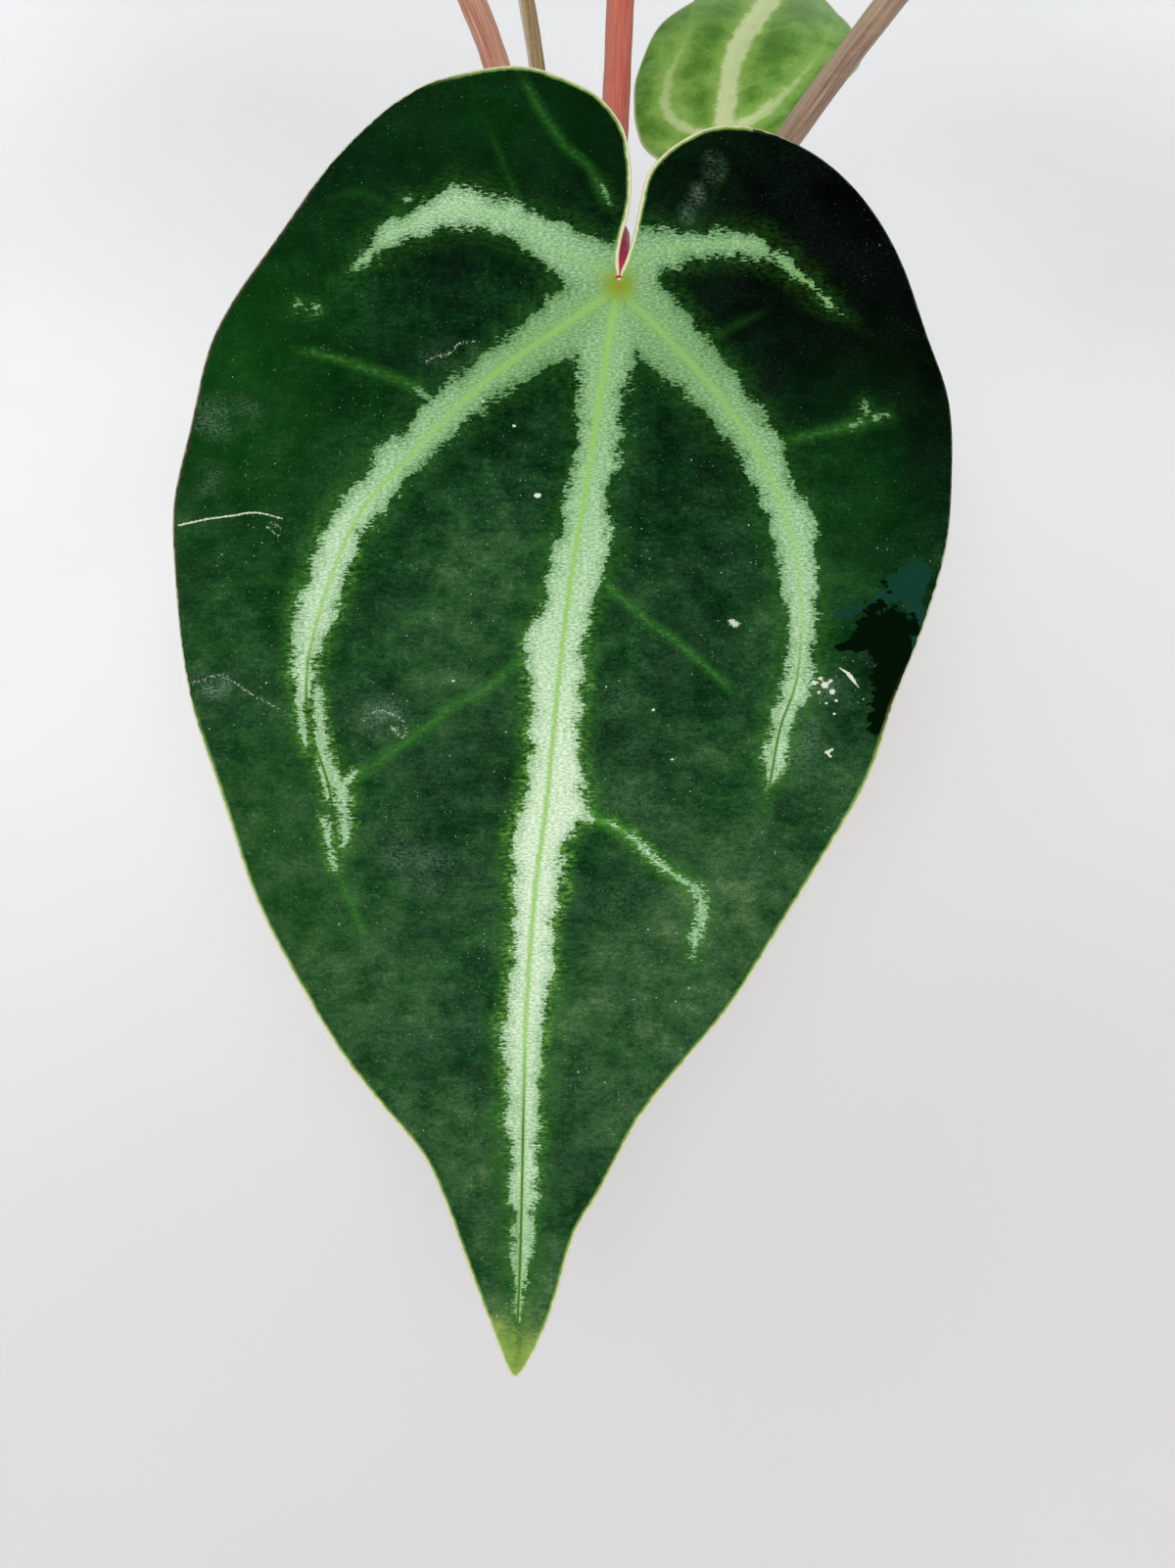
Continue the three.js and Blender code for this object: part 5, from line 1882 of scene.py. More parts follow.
        # The triangles run anticlockwise with v downwards, so they face down until they are turned over.
        faces = [tuple(face) for face in upper_faces[:, ::-1]]
        faces += [tuple(face) for face in lower_faces + len(upper) + count]
        area = (ring[:, 0] * np.roll(ring[:, 1], -1) - np.roll(ring[:, 0], -1) * ring[:, 1]).sum()
        faces += sides if area > 0 else [side[::-1] for side in sides]
        if leaf.mirror < 0:
            faces = [face[::-1] for face in faces]
        piece = build_object(f"{leaf.name}_blade_skin", places, faces, [face, underside])
        slots = np.zeros(len(faces), np.int32)
        slots[len(upper_faces):len(upper_faces) + len(lower_faces)] = 1
        piece.data.polygons.foreach_set("material_index", slots)
        painted = [self.paint(part, item) for part, item in zip(parts, known)]
        for name in painted[0]:
            store_vectors(piece, name, np.vstack([item[name] for item in painted]))
        return piece


# The bruise at the large blade's edge, the teal patch beside it, and the scars and specks.
BRUISE_STROKES = (
    Stroke(((37.2, 61), (40.5, 59.8), (43.5, 58.6), (47, 57.5)), (0.4, 2.2, 3.6, 2.6)),
    Stroke(((45.5, 58), (45.6, 63), (44.6, 68), (43.0, 75)), (3.4, 3.0, 2.0, 0.9)),
    Stroke(((40.5, 57.0), (43.5, 53.6)), (0.9, 0.7)),
    Stroke(((44, 50.8), (44.8, 51.8)), (0.7, 0.5)),
)

TEAL_STROKES = (
    Stroke(((48.5, 51), (49.2, 57), (47.8, 65), (44.6, 75)), (2.0, 1.5, 1.4, 0.9)),
    Stroke(((42.5, 54), (45.5, 51.5), (50, 49)), (0.8, 2.2, 2.2)),
    Stroke(((36, 55.5), (39.5, 54.5)), (0.6, 0.9)),
)

SCAR_STROKES = (
    Stroke(((-73.5, 40.5), (-68.5, 39.5), (-64.5, 39), (-60.5, 38.5), (-56, 39.5)), (0.15, 0.12, 0.13, 0.07),
           0.92),
    Stroke(((-58.5, 41), (-56.5, 42.5)), (0.08, 0.04), 0.5),
    Stroke(((-58, 40.2), (-56.3, 41)), (0.08, 0.04), 0.5),
    Stroke(((-72.5, 67), (-67, 65.5), (-65, 66.5), (-61, 69), (-55.5, 72)), (0.10, 0.12, 0.04), 0.45),
    Stroke(((-43, 73.5), (-41.5, 72), (-39.5, 71.5), (-37, 72.5), (-35.5, 74), (-36, 76), (-37.5, 75)),
           (0.06, 0.10, 0.06), 0.5),
    Stroke(((-37.7, 74.5), (-37.3, 74.5)), (0.35, 0.35), 0.6),
    Stroke(((-32, 14), (-30, 13), (-28, 12.5), (-26.5, 11), (-24, 10.5)), (0.06, 0.16, 0.04), 0.5),
    Stroke(((-13.7, 36), (-13.3, 36)), (0.40, 0.40), 0.95),
    Stroke(((18.6, 56.8), (19.4, 57.2)), (0.55, 0.6), 0.75),
    Stroke(((37, 64.4), (38.6, 65.6), (40.1, 67.6)), (0.1, 0.34, 0.08), 0.95),
) + tuple(
    Stroke(((u, v), (u + 0.2, v)), (radius, radius), 0.9)
    for u, v, radius in (
        (32.6, 66.8, 0.4), (33.6, 66.1, 0.3), (34.4, 67.2, 0.55), (35.4, 66.4, 0.22), (35.6, 68.3, 0.45),
        (33.4, 68.4, 0.2), (36.3, 69.8, 0.2), (34.6, 70.2, 0.16), (36.0, 72.0, 0.18), (34.7, 78.4, 0.26),
        (35.3, 79.1, 0.2), (35.6, 77.9, 0.14), (-7.5, 92.4, 0.14), (-22.6, 20.4, 0.16), (-17.4, 24.6, 0.2),
        (5.6, 71.4, 0.2), (8.8, 79.6, 0.16), (-27.6, 66.6, 0.18),
    )
)

# Patches of painted sheen: centre, reaches and strength of each.
SHEEN_PATCHES = (
    ((-69.5, 67), (5.5, 3.5), 2.2), ((-66.5, 22.5), (9, 5), 0.8), ((11.2, -10.5), (2.2, 3), 0.8),
    ((13, -13.5), (1.8, 2.8), 0.7), ((15.6, -18), (2.8, 3.2), 0.8), ((-39, 73), (6, 5), 1.0),
    ((33, 67), (5, 4), 1.2), ((-28, 12.5), (6, 3), 1.0), ((-35, 98), (10, 9), 0.7),
    ((30, 76), (8, 7), 0.8), ((-68, 36), (5, 8), 0.6),
)

# Ovals that lighten or darken the ground, and that make it lusher: strength, centre and reaches. The two
# darkest tone ovals, over the right lobe and the right side, are painted shade.
TONE_PATCHES = (
    (-0.30, 38, -4, 26, 28), (-0.13, 56, 25, 15, 32), (0.05, -68, 45, 9, 40), (-0.05, -25, 10, 16, 14),
    (-0.06, -20, 100, 16, 22), (0.07, 20, 112, 20, 24), (0.10, -24, 46, 16, 24), (0.07, -56, 88, 14, 22),
    (-0.05, -10, -20, 45, 14),
)
LUSH_PATCHES = (
    (1.0, -66, 15, 22, 34), (0.7, -58, 100, 14, 26), (0.5, -20, -26, 26, 12), (0.5, 40, 40, 12, 22),
)


class Stalk:
    """A leaf stalk, as a round tube that swells at its foot and under its blade."""

    sides = 22
    steps = 150

    def __init__(self, leaf: Leaf) -> None:
        """Keeps the leaf that the stalk carries."""
        self.leaf = leaf

    def build(self, growth: Growth, finish: Material) -> Object:
        """Builds the tube along the stalk's path.

        Args:
            growth: the geometry node trees.
            finish: the stalk's skin.

        Returns:
            The stalk.
        """
        control = np.array(self.leaf.stalk, float)
        times = np.linspace(0, 1, self.steps)
        points = catmull_rom(control, times, centripetal=True)
        radii = np.interp(times * (len(control) - 1), np.arange(len(control)), self.leaf.radii)
        ripple = 1 + 0.012 * np.sin(times * 61 + self.leaf.shift) + 0.010 * np.sin(times * 137)
        return path_tube(f"{self.leaf.name}_stalk_skin", points, radii * ripple, self.sides, growth, finish)


def path_tube(name: str, points: Array, radii: Array, sides: int, growth: Growth,
              finish: Material) -> Object:
    """A closed tube along points, with its way along and its side kept for the finish.

    Args:
        name: the piece's name.
        points: middle line, one point a row, in millimetres.
        radii: radius at each point.
        sides: faces round the tube.
        growth: the geometry node trees.
        finish: the tube's material.

    Returns:
        The tube.
    """
    edges = [(i, i + 1) for i in range(len(points) - 1)]
    mesh = bpy.data.meshes.new(name)
    mesh.from_pydata(points * MM, edges, [])
    piece = bpy.data.objects.new(name, mesh)
    bpy.context.scene.collection.objects.link(piece)
    reach = way_along(points)
    store_values(piece, "tube_radius", radii * MM)
    store_values(piece, "tube_along", reach)
    store_values(piece, "tube_share", reach / reach[-1])
    return grow(piece, growth.tube, Sides=sides, Finish=finish)


LEAVES = (
    Leaf(
        "main", MATURE_SHAPE, 1, 1, (1.9, -82.6, 231.4), 0, 32, droop=26, side=5, wave=1.2, waves=17,
        stalk=((0, -8, 95), (0, -9.6, 104), (0.2, -15, 122), (0.8, -31, 156), (1.8, -53, 196),
               (1.2, -65.5, 222.6),
               (1.1, -71, 228.8), (1.6, -76.4, 230), (1.9, -82.3, 229.4)),
        radii=(2, 3.9, 3, 2.7, 2.7, 2.8, 2.6, 2.2, 1.9),
        skin=StalkFinish("Crimson stalk skin", srgb(168, 72, 66), srgb(140, 46, 58), srgb(190, 118, 96),
                         top=srgb(186, 40, 82), top_from=0.80),
        grid=0.58, grid_below=1.25, marks=True,
    ),
    Leaf(
        "right", MATURE_SHAPE, 0.93, -1, (85, 3, 262), 102, 31, droop=30, side=9, wave=1.8, waves=13,
        stalk=((7.6, -2.6, 97), (9.4, -3.4, 106), (14.2, -5.4, 128), (22.5, -8, 159), (35.5, -10.5, 193.9),
               (51.9, -11.5, 228.6), (64, -9.5, 248), (76, -3.4, 258), (85, 3, 260)),
        radii=(2, 3.8, 3, 2.6, 2.5, 2.5, 2.7, 2.8, 2.2),
        skin=StalkFinish("Streaked buff stalk skin", srgb(160, 132, 110), srgb(128, 98, 80),
                         srgb(194, 172, 146),
                         light_side=(-0.6, 0.2, 0.77), light_share=0.8, streak_share=0.5),
        shift=1.0,
    ),
    Leaf(
        "back", MATURE_SHAPE, 1, 1, (6, 45, 305), 178, 35, droop=32, side=8, wave=1.6, waves=15,
        stalk=((-0.6, 7.8, 99), (-0.6, 9.4, 108), (0.4, 10, 130), (2.2, 10, 175.5), (3.1, 14, 207),
               (4.6, 22, 250), (5.6, 30, 285), (6, 38, 301), (6, 44.5, 303)),
        radii=(2, 3.9, 3, 2.8, 2.7, 2.6, 2.8, 2.9, 2.2),
        skin=StalkFinish("Coral stalk skin", srgb(216, 112, 88), srgb(196, 92, 82), srgb(226, 146, 118),
                         light_side=(-1.0, -0.2, 0.1), light_share=0.5, streak_share=0.4),
        shift=2.0,
    ),
    Leaf(
        "left", MATURE_SHAPE, 0.92, 1, (-62, 12, 270), 254, 30, droop=28, side=8, wave=1.8, waves=13,
        stalk=((-7.2, -3.4, 95), (-8.7, -4, 104), (-10.8, -2.6, 126), (-14.6, 2.4, 162), (-21, 6, 197),
               (-25.4, 6.2, 213.7), (-36, 7.6, 242), (-50, 10, 262.5), (-62, 12, 268)),
        radii=(2, 3.8, 3, 2.7, 2.6, 2.6, 2.7, 2.9, 2.2),
        skin=StalkFinish("Rose stalk skin", srgb(216, 146, 122), srgb(176, 112, 90), srgb(236, 184, 158),
                         light_side=(0.9, -0.3, 0.2), light_share=0.5, streak_share=0.6),
        shift=3.0,
    ),
    Leaf(
        "small", MATURE_SHAPE, 0.6, 1, (-24, 33, 240), 218, 38, droop=34, side=9, wave=1.4, waves=11,
        stalk=((-7, 4, 93), (-8.2, 4.8, 101), (-9.2, 6.4, 124), (-10.8, 8.4, 158), (-13.3, 10.5, 192.9),
               (-15.2, 12.6, 208.3), (-18.4, 19, 226), (-21.4, 26.6, 236.6), (-24, 32.6, 238.6)),
        radii=(1.6, 2.9, 2, 1.7, 1.6, 1.6, 1.8, 2, 1.6),
        skin=StalkFinish("Brown stalk skin", srgb(180, 150, 96), srgb(140, 112, 76), srgb(250, 236, 210),
                         light_side=(-1.0, 0.0, 0.1), light_share=1.0, streak_share=0.35),
        grid=1.1, shift=4.0,
    ),
    Leaf(
        "young", YOUNG_SHAPE, 1, 1, (24.5, 15.5, 169), 167, -2, droop=7, side=2.6, wave=0.5, waves=9,
        stalk=((6.2, 5.2, 101), (7.4, 6.4, 109), (10.4, 8.4, 124), (16, 10.6, 144), (21.6, 12.2, 159),
               (24, 13.8, 165.4), (24.5, 15.2, 168)),
        radii=(1.5, 2.8, 2, 1.6, 1.6, 1.8, 1.4),
        skin=StalkFinish("Green stalk skin", srgb(138, 152, 94), srgb(112, 112, 70), srgb(176, 184, 132),
                         streak_share=0.3, top=srgb(150, 120, 84)),
        grid=0.5, grid_below=1.0, shift=5.0,
    ),
)


# Pot, mix and stem


def rounded_profile(corners: list[Point], cut: float, step: float) -> list[Point]:
    """Softens the corners of a side profile and puts points along its straight runs.

    Args:
        corners: radius and height of each corner; the first and the last lie on the axis.
        cut: how far from a corner its rounding starts, in millimetres.
        step: longest run between points.

    Returns:
        The finer profile.
    """
    path = [np.array(corners[0], float)]
    for before, corner, after in zip(corners, corners[1:], corners[2:]):
        before, corner, after = (np.array(p, float) for p in (before, corner, after))
        back, ahead = before - corner, after - corner
        reach = min(cut, np.linalg.norm(back) * 0.45, np.linalg.norm(ahead) * 0.45)
        start = corner + back / np.linalg.norm(back) * reach
        end = corner + ahead / np.linalg.norm(ahead) * reach
        for t in (0, 0.25, 0.5, 0.75, 1):
            path.append(start * (1 - t) ** 2 + corner * 2 * t * (1 - t) + end * t**2)
    path.append(np.array(corners[-1], float))
    fine = [path[0]]
    for point in path[1:]:
        gap = np.linalg.norm(point - fine[-1])
        count = max(1, math.ceil(gap / step))
        base = fine[-1]
        fine += [base + (point - base) * k / count for k in range(1, count + 1)]
    return [tuple(point) for point in fine]


@dataclass
class Pot:
    """Clay pot with a banded rim, throwing lines and three drain holes."""

    height: float = 90
    base_radius: float = 37
    body_top: float = 50
    rim_radius: float = 54
    rim_height: float = 20
    wall: float = 4.5
    floor: float = 6
    edge: float = 1.5
    segments: int = 176
    drain_radius: float = 3.5
    drain_circle: float = 18
    drains: int = 3
    drain_sides: int = 40
    cutter_spare: float = 2
    throw_depth: float = 0.16
    throw_pitch: float = 3.6
    rounding: float = 1.1
    profile_step: float = 1.3

    def inner(self, z: float) -> float:
        """Inner radius at a height."""
        flare = (self.body_top - self.base_radius) / (self.height - self.rim_height)
        return self.base_radius - self.wall + flare * z

    def build(self, finish: Material) -> Object:
        """Turns the pot, adds the throwing lines and cuts the drain holes.

        Args:
            finish: the clay.

        Returns:
            The pot.
        """
        band, lip = self.height - self.rim_height, self.height - self.edge
        corners = [
            (0, 0), (self.base_radius - self.edge, 0), (self.base_radius, self.edge), (self.body_top, band),
            (self.rim_radius - self.edge, band + self.edge), (self.rim_radius, lip),
            (self.rim_radius - self.edge, self.height), (self.inner(self.height) + self.edge, self.height),
            (self.inner(lip), lip), (self.inner(self.floor), self.floor), (0, self.floor),
        ]
        vertices, faces = revolve(rounded_profile(corners, self.rounding, self.profile_step), self.segments)
        radius = np.hypot(vertices[:, 0], vertices[:, 1])
        z = vertices[:, 2]
        turn = np.arctan2(vertices[:, 1], vertices[:, 0])
        outside = radius > np.array([self.inner(h) for h in z]) + 2
        wave = np.sin(2 * math.pi * (z / self.throw_pitch) + 0.8 * np.sin(3 * turn))
        uneven = 0.10 * np.sin(2 * turn + z / 31) - 0.10 + 0.05 * np.sin(7 * turn + z / 9)
        fade = np.clip((z - 2) / 6, 0, 1) * np.where(outside, 1, 0.5)
        moved = (self.throw_depth * (wave - 1) / 2 + uneven) * fade * (radius > 20)
        vertices[:, :2] *= (1 + moved / np.maximum(radius, 1))[:, None]
        pot = build_object("turned_clay_pot", vertices, faces, [finish])
        cutters = []
        for i in range(self.drains):
            angle = 2 * math.pi * (i + 0.5) / self.drains
            low, high = -self.cutter_spare, self.floor + self.cutter_spare
            profile = [(0, low), (self.drain_radius, low), (self.drain_radius, high), (0, high)]
            shape, sides = revolve(profile, self.drain_sides)
            shape += self.drain_circle * np.array([math.cos(angle), math.sin(angle), 0])
            cutters.append(build_object(f"drain_cutter_{i}", shape, sides, [finish]))
        for cutter in cutters:
            cut = pot.modifiers.new("Drain hole", "BOOLEAN")
            cut.operation = "DIFFERENCE"
            cut.object = cutter
        freeze(pot)
        for cutter in cutters:
            bpy.data.objects.remove(cutter)
        return pot


@dataclass
class PottingMix:
    """Chunky mix: a lumpy closed body with bark chips, perlite, grit and moss on top."""

    pot: Pot = field(default_factory=Pot)
    top: float = 78
    crown: float = 1.5
    coarse_lump: float = 0.77
    fine_lump: float = 0.55
    clearance: float = 0.3
    rings: int = 56
    segments: int = 176
    strewn_from: float = 10.5
    strewn_margin: float = 2.6
    strewn_lift: float = 0.1
    strewn_rows: int = 30
    strewn_columns: int = 90

    def surface(self, x: Array, y: Array, edge: float) -> Array:
        """Height of the lumpy top of the mix.

        Args:
            x: places from left to right, in millimetres.
            y: places from front to back, in millimetres.
            edge: radius of the top.

        Returns:
            Height at each place.
        """
        swell = 1 - (x**2 + y**2) / edge**2
        bent_x, bent_y = 0.41 * x + 1.3 * np.sin(0.23 * y), 0.37 * y - 0.9 * np.sin(0.19 * x)
        lump = self.coarse_lump * np.sin(bent_x) * np.cos(bent_y)
        lump = lump + self.fine_lump * np.sin(0.83 * x + 2.1) * np.sin(0.77 * y + 0.6)
        crumb = 0.30 * np.sin(2.1 * x + 0.7 * y) * np.sin(1.9 * y - 0.9 * x + 1.0)
        crumb = crumb + 0.16 * np.sin(4.3 * x) * np.cos(3.9 * y)
        return self.top + self.crown * swell + lump + crumb

    def build(self, growth: Growth, finishes: dict[str, Material]) -> Object:
        """Builds the body and strews the chips, grit and moss on it.

        Args:
            growth: the geometry node trees.
            finishes: the mix's materials by name.

        Returns:
            The mix as one piece.
        """
        edge = self.pot.inner(self.top) - self.clearance
        foot = self.pot.floor + self.clearance
        profile = [(0, foot), (self.pot.inner(foot) - self.clearance, foot)]
        profile += [(self.pot.inner(z) - self.clearance, z) for z in np.linspace(foot, self.top - 1, 12)[1:]]
        profile += [(r, self.top) for r in np.linspace(edge, edge / self.rings, self.rings)] + [(0, self.top)]
        vertices, faces = revolve(profile, self.segments)
        upper = vertices[:, 2] > self.top - 0.5
        vertices[upper, 2] = self.surface(vertices[upper, 0], vertices[upper, 1], edge)
        body = build_object("chunky_mix", vertices, faces, [finishes["soil"]])
        pieces = [body]
        plan = (
            ("chips", growth.lumps, 0.085, 3, (1.5, 0.9, 0.5), (4.2, 2.6, 1.3), 1.6, finishes["bark"]),
            ("fines", growth.lumps, 0.55, 5, (0.4, 0.3, 0.3), (1.2, 0.9, 0.7), 0.7, finishes["bark"]),
            ("perlite", growth.lumps, 0.05, 7, (0.7, 0.7, 0.6), (1.9, 1.7, 1.4), 0.9, finishes["perlite"]),
            ("moss", growth.hairs, 2.6, 11, (0.10, 0.10, 1.2), (0.22, 0.22, 2.6), 0.5, finishes["moss"]),
        )
        for name, tree, density, seed, smallest, largest, unevenness, finish in plan:
            patch = self.top_patch(name, edge)
            pieces.append(grow(
                patch, tree, Density=density / MM**2, Seed=seed, Smallest=tuple(s * MM for s in smallest),
                Largest=tuple(s * MM for s in largest), Unevenness=unevenness * MM, Finish=finish))
        return join(pieces, "chunky_mix")

    def top_patch(self, name: str, edge: float) -> Object:
        """A copy of the mix's top that tells, in strewn_share, where the grains of one kind lie.

        Args:
            name: the kind of grain.
            edge: radius of the mix's top.

        Returns:
            The copy.
        """
        rows, columns = self.strewn_rows, self.strewn_columns
        radii = np.linspace(self.strewn_from, edge - self.strewn_margin, rows)
        turn = np.linspace(0, 2 * math.pi, columns, endpoint=False)
        x, y = (np.outer(radii, part(turn)).ravel() for part in (np.cos, np.sin))
        vertices = np.column_stack([x, y, self.surface(x, y, edge) + self.strewn_lift])
        faces = []
        for row in range(0, (rows - 1) * columns, columns):
            for k in range(columns):
                after = (k + 1) % columns
                faces.append((row + k, row + columns + k, row + columns + after, row + after))
        patch = build_object(f"strewn_{name}", vertices, faces, [])
        share = np.ones(len(x))
        if name == "moss":
            cloud = np.sin(0.11 * x + 1.0) * np.sin(0.13 * y - 0.6) + 0.5 * np.sin(0.29 * x - 0.2 * y)
            share = np.clip((cloud - 0.25) * 2.4, 0, 1)
        store_values(patch, "strewn_share", share)
        return patch


@dataclass(frozen=True)
class RootPath:
    """An air root: its angle round the stem, its height there, how far out it goes and its lowest end."""

    angle: float
    leave: float
    reach: float
    end: float


@dataclass
class Stem:
    """Short thick stem with ridged leaf scars, and air roots that arch into the mix."""

    foot: float = 54
    soil_radius: float = 8.6
    foot_taper: float = 2
    taper_height: float = 8
    scars: Point = (84, 89.5, 94.5, 99)
    scar_height: float = 1.4
    scar_ridge: float = 0.7
    crown_radius: float = 8.2
    shoulder: float = 104
    shoulder_radius: float = 5.2
    shoulder_top: float = 109
    top: float = 112
    segments: int = 96
    rounding: float = 0.7
    profile_step: float = 0.6
    root_radius: float = 1.9
    root_steps: int = 90
    root_sides: int = 16
    root_knee: Point = (80, 72)
    roots: tuple[RootPath, ...] = (
        RootPath(12, 92, 21, 58), RootPath(72, 86, 17, 60), RootPath(128, 90, 24, 56),
        RootPath(196, 87, 19, 60), RootPath(262, 91, 22, 57), RootPath(322, 85, 17, 61),
    )

    def build(self, growth: Growth, bark: Material, skin: Material) -> Object:
        """Builds the stem and its roots as one piece.

        Args:
            growth: the geometry node trees.
            bark: finish of the stem.
            skin: finish of the roots.

        Returns:
            The stem.
        """
        profile = [(0, self.foot), (self.soil_radius - self.foot_taper, self.foot),
                   (self.soil_radius, self.foot + self.taper_height)]
        for scar in self.scars:
            profile.append((self.soil_radius, scar - self.scar_height))
            profile.append((self.soil_radius + self.scar_ridge, scar))
        profile += [(self.crown_radius, self.shoulder), (self.shoulder_radius, self.shoulder_top),
                    (0, self.top)]
        vertices, faces = revolve(rounded_profile(profile, self.rounding, self.profile_step), self.segments)
        turn, z = np.arctan2(vertices[:, 1], vertices[:, 0]), vertices[:, 2]
        knobs = 0.10 * np.sin(5 * turn + 0.9 * z) * np.sin(1.7 * z) + 0.08 * np.sin(11 * turn - 1.3 * z)
        shrink = 1 - (0.18 - knobs) / np.maximum(np.hypot(vertices[:, 0], vertices[:, 1]), 4)
        vertices[:, :2] *= shrink[:, None]
        pieces = [build_object("scarred_stem", vertices, faces, [bark])]
        for number, root in enumerate(self.roots):
            a = math.radians(root.angle)
            stops = ((4, root.leave - 1), (10, root.leave), (root.reach - 4.5, root.leave - 2.5),
                     *((root.reach, height) for height in self.root_knee), (root.reach, root.end))
            control = np.array([(r * math.cos(a), r * math.sin(a), z) for r, z in stops])
            times = np.linspace(0, 1, self.root_steps)
            points = catmull_rom(control, times, centripetal=True)
            radii = self.root_radius * (0.95 + 0.04 * np.sin(times * 47 + number) - 0.10 * times)
            pieces.append(path_tube(f"air_root_{number}", points, radii, self.root_sides, growth, skin))
        return join(pieces, "scarred_stem")


BRACT_AZIMUTHS = (-52, -128, 66)


@dataclass
class Bract:
    """Dry papery bract that stands off the stem below the stalks."""

    azimuth: float
    foot: float = 86
    length: float = 38
    foot_width: float = 10
    tip_width: float = 0.5
    foot_radius: float = 9.9
    thickness: float = 0.9
    flare: float = 9.5
    flare_power: float = 1.35
    belly: float = 3.4
    lift: float = 3.6
    ribs: int = 7
    rib_height: float = 0.07
    rows: int = 56
    columns: int = 28

    def build(self, name: str, finish: Material) -> Object:
        """Builds the bract as a thin closed shell with ribs and a torn edge.

        Args:
            name: the piece's name.
            finish: its material.

        Returns:
            The bract.
        """
        j, i = np.meshgrid(np.arange(self.rows + 1), np.arange(self.columns + 1), indexing="ij")
        t, across = j / self.rows, i / self.columns - 0.5
        width = self.foot_width * np.sqrt(np.maximum(1 - t * t, 0)) * (1 + 0.5 * t) + self.tip_width
        width = width * (1 - 0.05 * (0.5 + 0.5 * np.sin(t * 23 + self.azimuth)) * (t > 0.2))
        base = self.foot_radius + self.flare * t**self.flare_power
        base = base + self.belly * np.sin(math.pi * np.minimum(1.5 * t, 1)) * t
        base = base + self.lift * np.minimum(4 * t, 1)
        rib = self.rib_height * np.cos(across * 2 * math.pi * self.ribs) * (1 - t)
        edge = np.minimum(0.5 - np.abs(across), (1 - t) * 0.8)
        thin = self.thickness * np.clip(0.35 + 2.6 * edge, 0.35, 1)
        layers = []
        for outer in (0, 1):
            radius = base + self.thickness / 2 + (outer - 0.5) * thin + rib
            angle = math.radians(self.azimuth) + across * width / radius
            z = self.foot + self.length * t
            shell = np.stack([radius * np.cos(angle), radius * np.sin(angle), z], axis=-1)
            layers.append(shell.reshape(-1, 3))
        stride, count = self.columns + 1, (self.rows + 1) * (self.columns + 1)
        faces = []
        for r in range(self.rows):
            for c in range(self.columns):
                a = r * stride + c
                faces.append((a, a + stride, a + stride + 1, a + 1))
                faces.append((count + a, count + a + 1, count + a + stride + 1, count + a + stride))
        ring = [*range(self.columns), *(r * stride + self.columns for r in range(self.rows)),
                *(self.rows * stride + c for c in range(self.columns, 0, -1)),
                *(r * stride for r in range(self.rows, 0, -1))]
        faces += [(a, b, count + b, count + a) for a, b in zip(ring, ring[1:] + ring[:1])]
        piece = build_object(name, np.vstack(layers), faces, [finish])
        place = np.column_stack([(across * width).ravel() + 3 * self.azimuth, (self.length * t).ravel(),
                                 (edge * width).ravel()])
        store_vectors(piece, "bract_place", np.vstack([place, place]))
        return piece


# Studio


@dataclass(frozen=True)
class Softbox:
    """A large square lamp: where it stands, what it points at, its size and its strength."""

    place: Point
    target: Point
    size: float
    watts: float
    colour: Point = (1.0, 1.0, 1.0)


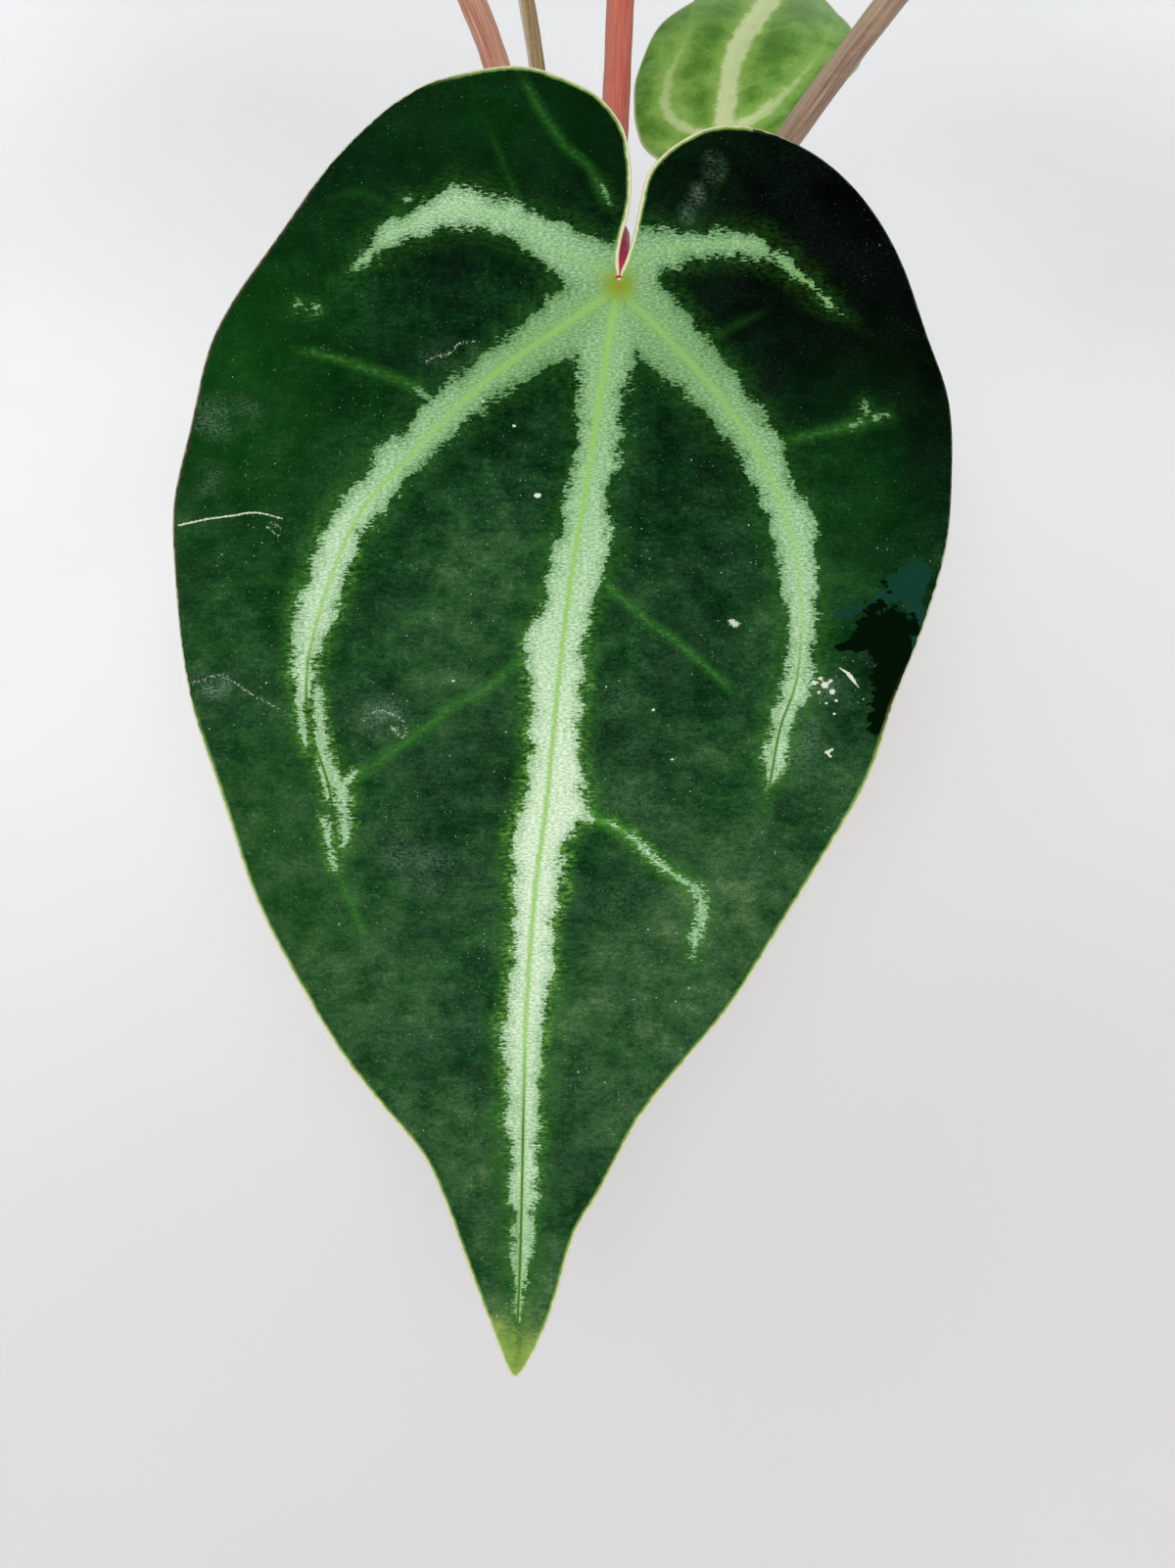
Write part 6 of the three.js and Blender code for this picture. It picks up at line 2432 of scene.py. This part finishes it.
@dataclass
class Studio:
    """Pale floor, soft lamps and the camera, all outside the plant itself."""

    camera_place: Point = (-3.307, -365.551, 526.231)
    camera_tilt: float = 32.0
    lens: float = 55.59
    sensor: float = 36.0
    floor_size: float = 40.0
    # A painted pool of light on the floor round the plant: its centre, the reach where it fades and where it
    # is gone, and the colours in and outside it.
    pale_centre: Point = (-60, 200, 0)
    pale_reach: tuple[float, float] = (170, 500)
    floor_in_lit_pool: Colour = srgb(247, 248, 250)
    floor_beyond_lit_pool: Colour = srgb(216, 212, 214)
    floor_cloud: Colour = srgb(224, 225, 227)
    sky: tuple[float, float, float] = (0.98, 0.99, 1.0)
    sky_strength: float = 0.60
    lamps: tuple[Softbox, ...] = (
        Softbox((-1.2, -0.8, 2.0), (0, 0, 0.2), 2.0, 10.0, (1.0, 0.99, 0.97)),
        Softbox((0.5, -1.9, 0.9), (0, 0, 0.22), 1.6, 8.0, (1.0, 1.0, 1.0)),
        Softbox((0.35, 1.5, 1.5), (0.02, 0.05, 0.12), 1.4, 7.0, (1.0, 1.0, 1.0)),
        Softbox((0.0, -1.0, 1.5), (0, 0.05, 0.15), 0.6, 9.0, (1.0, 1.0, 1.0)),
    )

    def build(self, effects: Effects) -> None:
        """Builds the floor, the sky, the lamps and the camera.

        Args:
            effects: the shared node groups.
        """
        half = self.floor_size / 2 / MM
        corners = [(-half, -half, 0), (half, -half, 0), (half, half, 0), (-half, half, 0)]
        floor = build_object("pale_floor", corners, [(0, 1, 2, 3)], [self.floor_finish(effects)])
        scene = bpy.context.scene
        world = bpy.data.worlds.new("Soft room light")
        world.use_nodes = True
        background = world.node_tree.nodes["Background"]
        background.inputs["Color"].default_value = (*self.sky, 1.0)
        background.inputs["Strength"].default_value = self.sky_strength
        scene.world = world
        for number, lamp in enumerate(self.lamps):
            light = bpy.data.lights.new(f"softbox_{number}", "AREA")
            light.size = lamp.size
            light.energy = lamp.watts
            light.color = lamp.colour
            stand = bpy.data.objects.new(f"softbox_{number}", light)
            stand.location = lamp.place
            aim = Vector(lamp.target) - Vector(lamp.place)
            stand.rotation_euler = aim.to_track_quat("-Z", "Y").to_euler()
            scene.collection.objects.link(stand)
        view = bpy.data.cameras.new("photograph_view")
        view.lens = self.lens
        view.sensor_width = self.sensor
        view.clip_start = 0.01
        view.clip_end = 100.0
        camera = bpy.data.objects.new("photograph_view", view)
        camera.location = Vector(self.camera_place) * MM
        camera.rotation_euler = Euler((math.radians(self.camera_tilt), 0, 0))
        scene.collection.objects.link(camera)
        scene.camera = camera
        scene.view_settings.view_transform = "Standard"

    def floor_finish(self, effects: Effects) -> Material:
        """Matt near-white floor, with a painted pool of light round the plant and darker further out.

        Args:
            effects: the shared node groups.

        Returns:
            The material.
        """
        sheet = MaterialSheet("Pale studio floor", effects)
        sheet.constant(Specular_IOR_Level=0.05)
        place = sheet.object_millimetres()
        # Painted light: the floor is palest in the pool and darker away from it.
        away = sheet.ramped(sheet.vectors("DISTANCE", place, self.pale_centre), *self.pale_reach)
        cloud = sheet.ramped(sheet.noise(place, 0.012, 3.0), 0.4, 0.7, 0.0, 0.12)
        colour = sheet.layered(self.floor_in_lit_pool, (away, self.floor_beyond_lit_pool), (cloud, self.floor_cloud))
        return sheet.finish(colour, 0.9)


def settle(piece: Object, nodes: tuple[str, ...]) -> None:
    """Hands a finished piece over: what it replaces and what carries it.

    Args:
        piece: the piece.
        nodes: CAD nodes that it stands for.
    """
    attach(piece, ROOT_BODY)
    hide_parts(*nodes)
    count = sum(len(face.vertices) - 2 for face in piece.data.polygons)
    LOG.info("%s: %d triangles, for %s", piece.name, count, ", ".join(nodes))


def main() -> None:
    """Builds the plant, its pot and the studio."""
    logging.basicConfig(level=logging.INFO, format="%(name)s %(message)s")
    effects, growth = Effects(), Growth()
    studio = Studio()
    studio.build(effects)

    pot = Pot()
    settle(pot.build(ClayFinish().build(effects)), ("pot",))
    mix_finishes = {
        "soil": GrainFinish("Damp mix", srgb(58, 42, 32), srgb(92, 70, 52), srgb(38, 28, 22)).build(effects),
        "bark": GrainFinish("Bark chips", srgb(104, 70, 46), srgb(146, 104, 72), srgb(64, 42, 30),
                            coarse=0.8, fine=3.5, squeeze=(1.0, 1.0, 2.6)).build(effects),
        "perlite": GrainFinish("Perlite", srgb(214, 210, 200), srgb(232, 230, 224), srgb(176, 168, 152),
                               coarse=1.2, fine=5.0).build(effects),
        "moss": GrainFinish("Moss", srgb(70, 96, 36), srgb(112, 138, 56), srgb(92, 86, 44)).build(effects),
    }
    settle(PottingMix(pot).build(growth, mix_finishes), ("potting_mix",))
    bark = GrainFinish("Stem bark", srgb(104, 96, 66), srgb(146, 132, 96), srgb(84, 62, 44),
                       coarse=0.9, fine=4.0, relief=0.4, squeeze=(1.0, 1.0, 1.6)).build(effects)
    root_skin = GrainFinish("Root skin", srgb(150, 134, 104), srgb(182, 170, 142), srgb(112, 110, 70),
                            coarse=0.8, fine=4.5, relief=0.25).build(effects)
    settle(Stem().build(growth, bark, root_skin), ("stem",))
    paper = BractFinish().build(effects)
    for number, azimuth in enumerate(BRACT_AZIMUTHS, 1):
        settle(Bract(azimuth).build(f"papery_bract_{number}", paper), (f"dry_sheath_{number}",))

    velvet, fresh = VelvetFinish().build(effects), YoungFinish().build(effects)
    underside = UndersideFinish().build(effects)
    for leaf in LEAVES:
        face = fresh if leaf.shape is YOUNG_SHAPE else velvet
        blade = Blade(leaf, BladeSizes()).build(face, underside)
        settle(blade, (f"blade_{leaf.name}",))
        stalk = Stalk(leaf).build(growth, leaf.skin.build(effects))
        settle(stalk, (f"stalk_{leaf.name}",))

    bpy.context.view_layer.update()


if __name__ == "__main__":
    main()
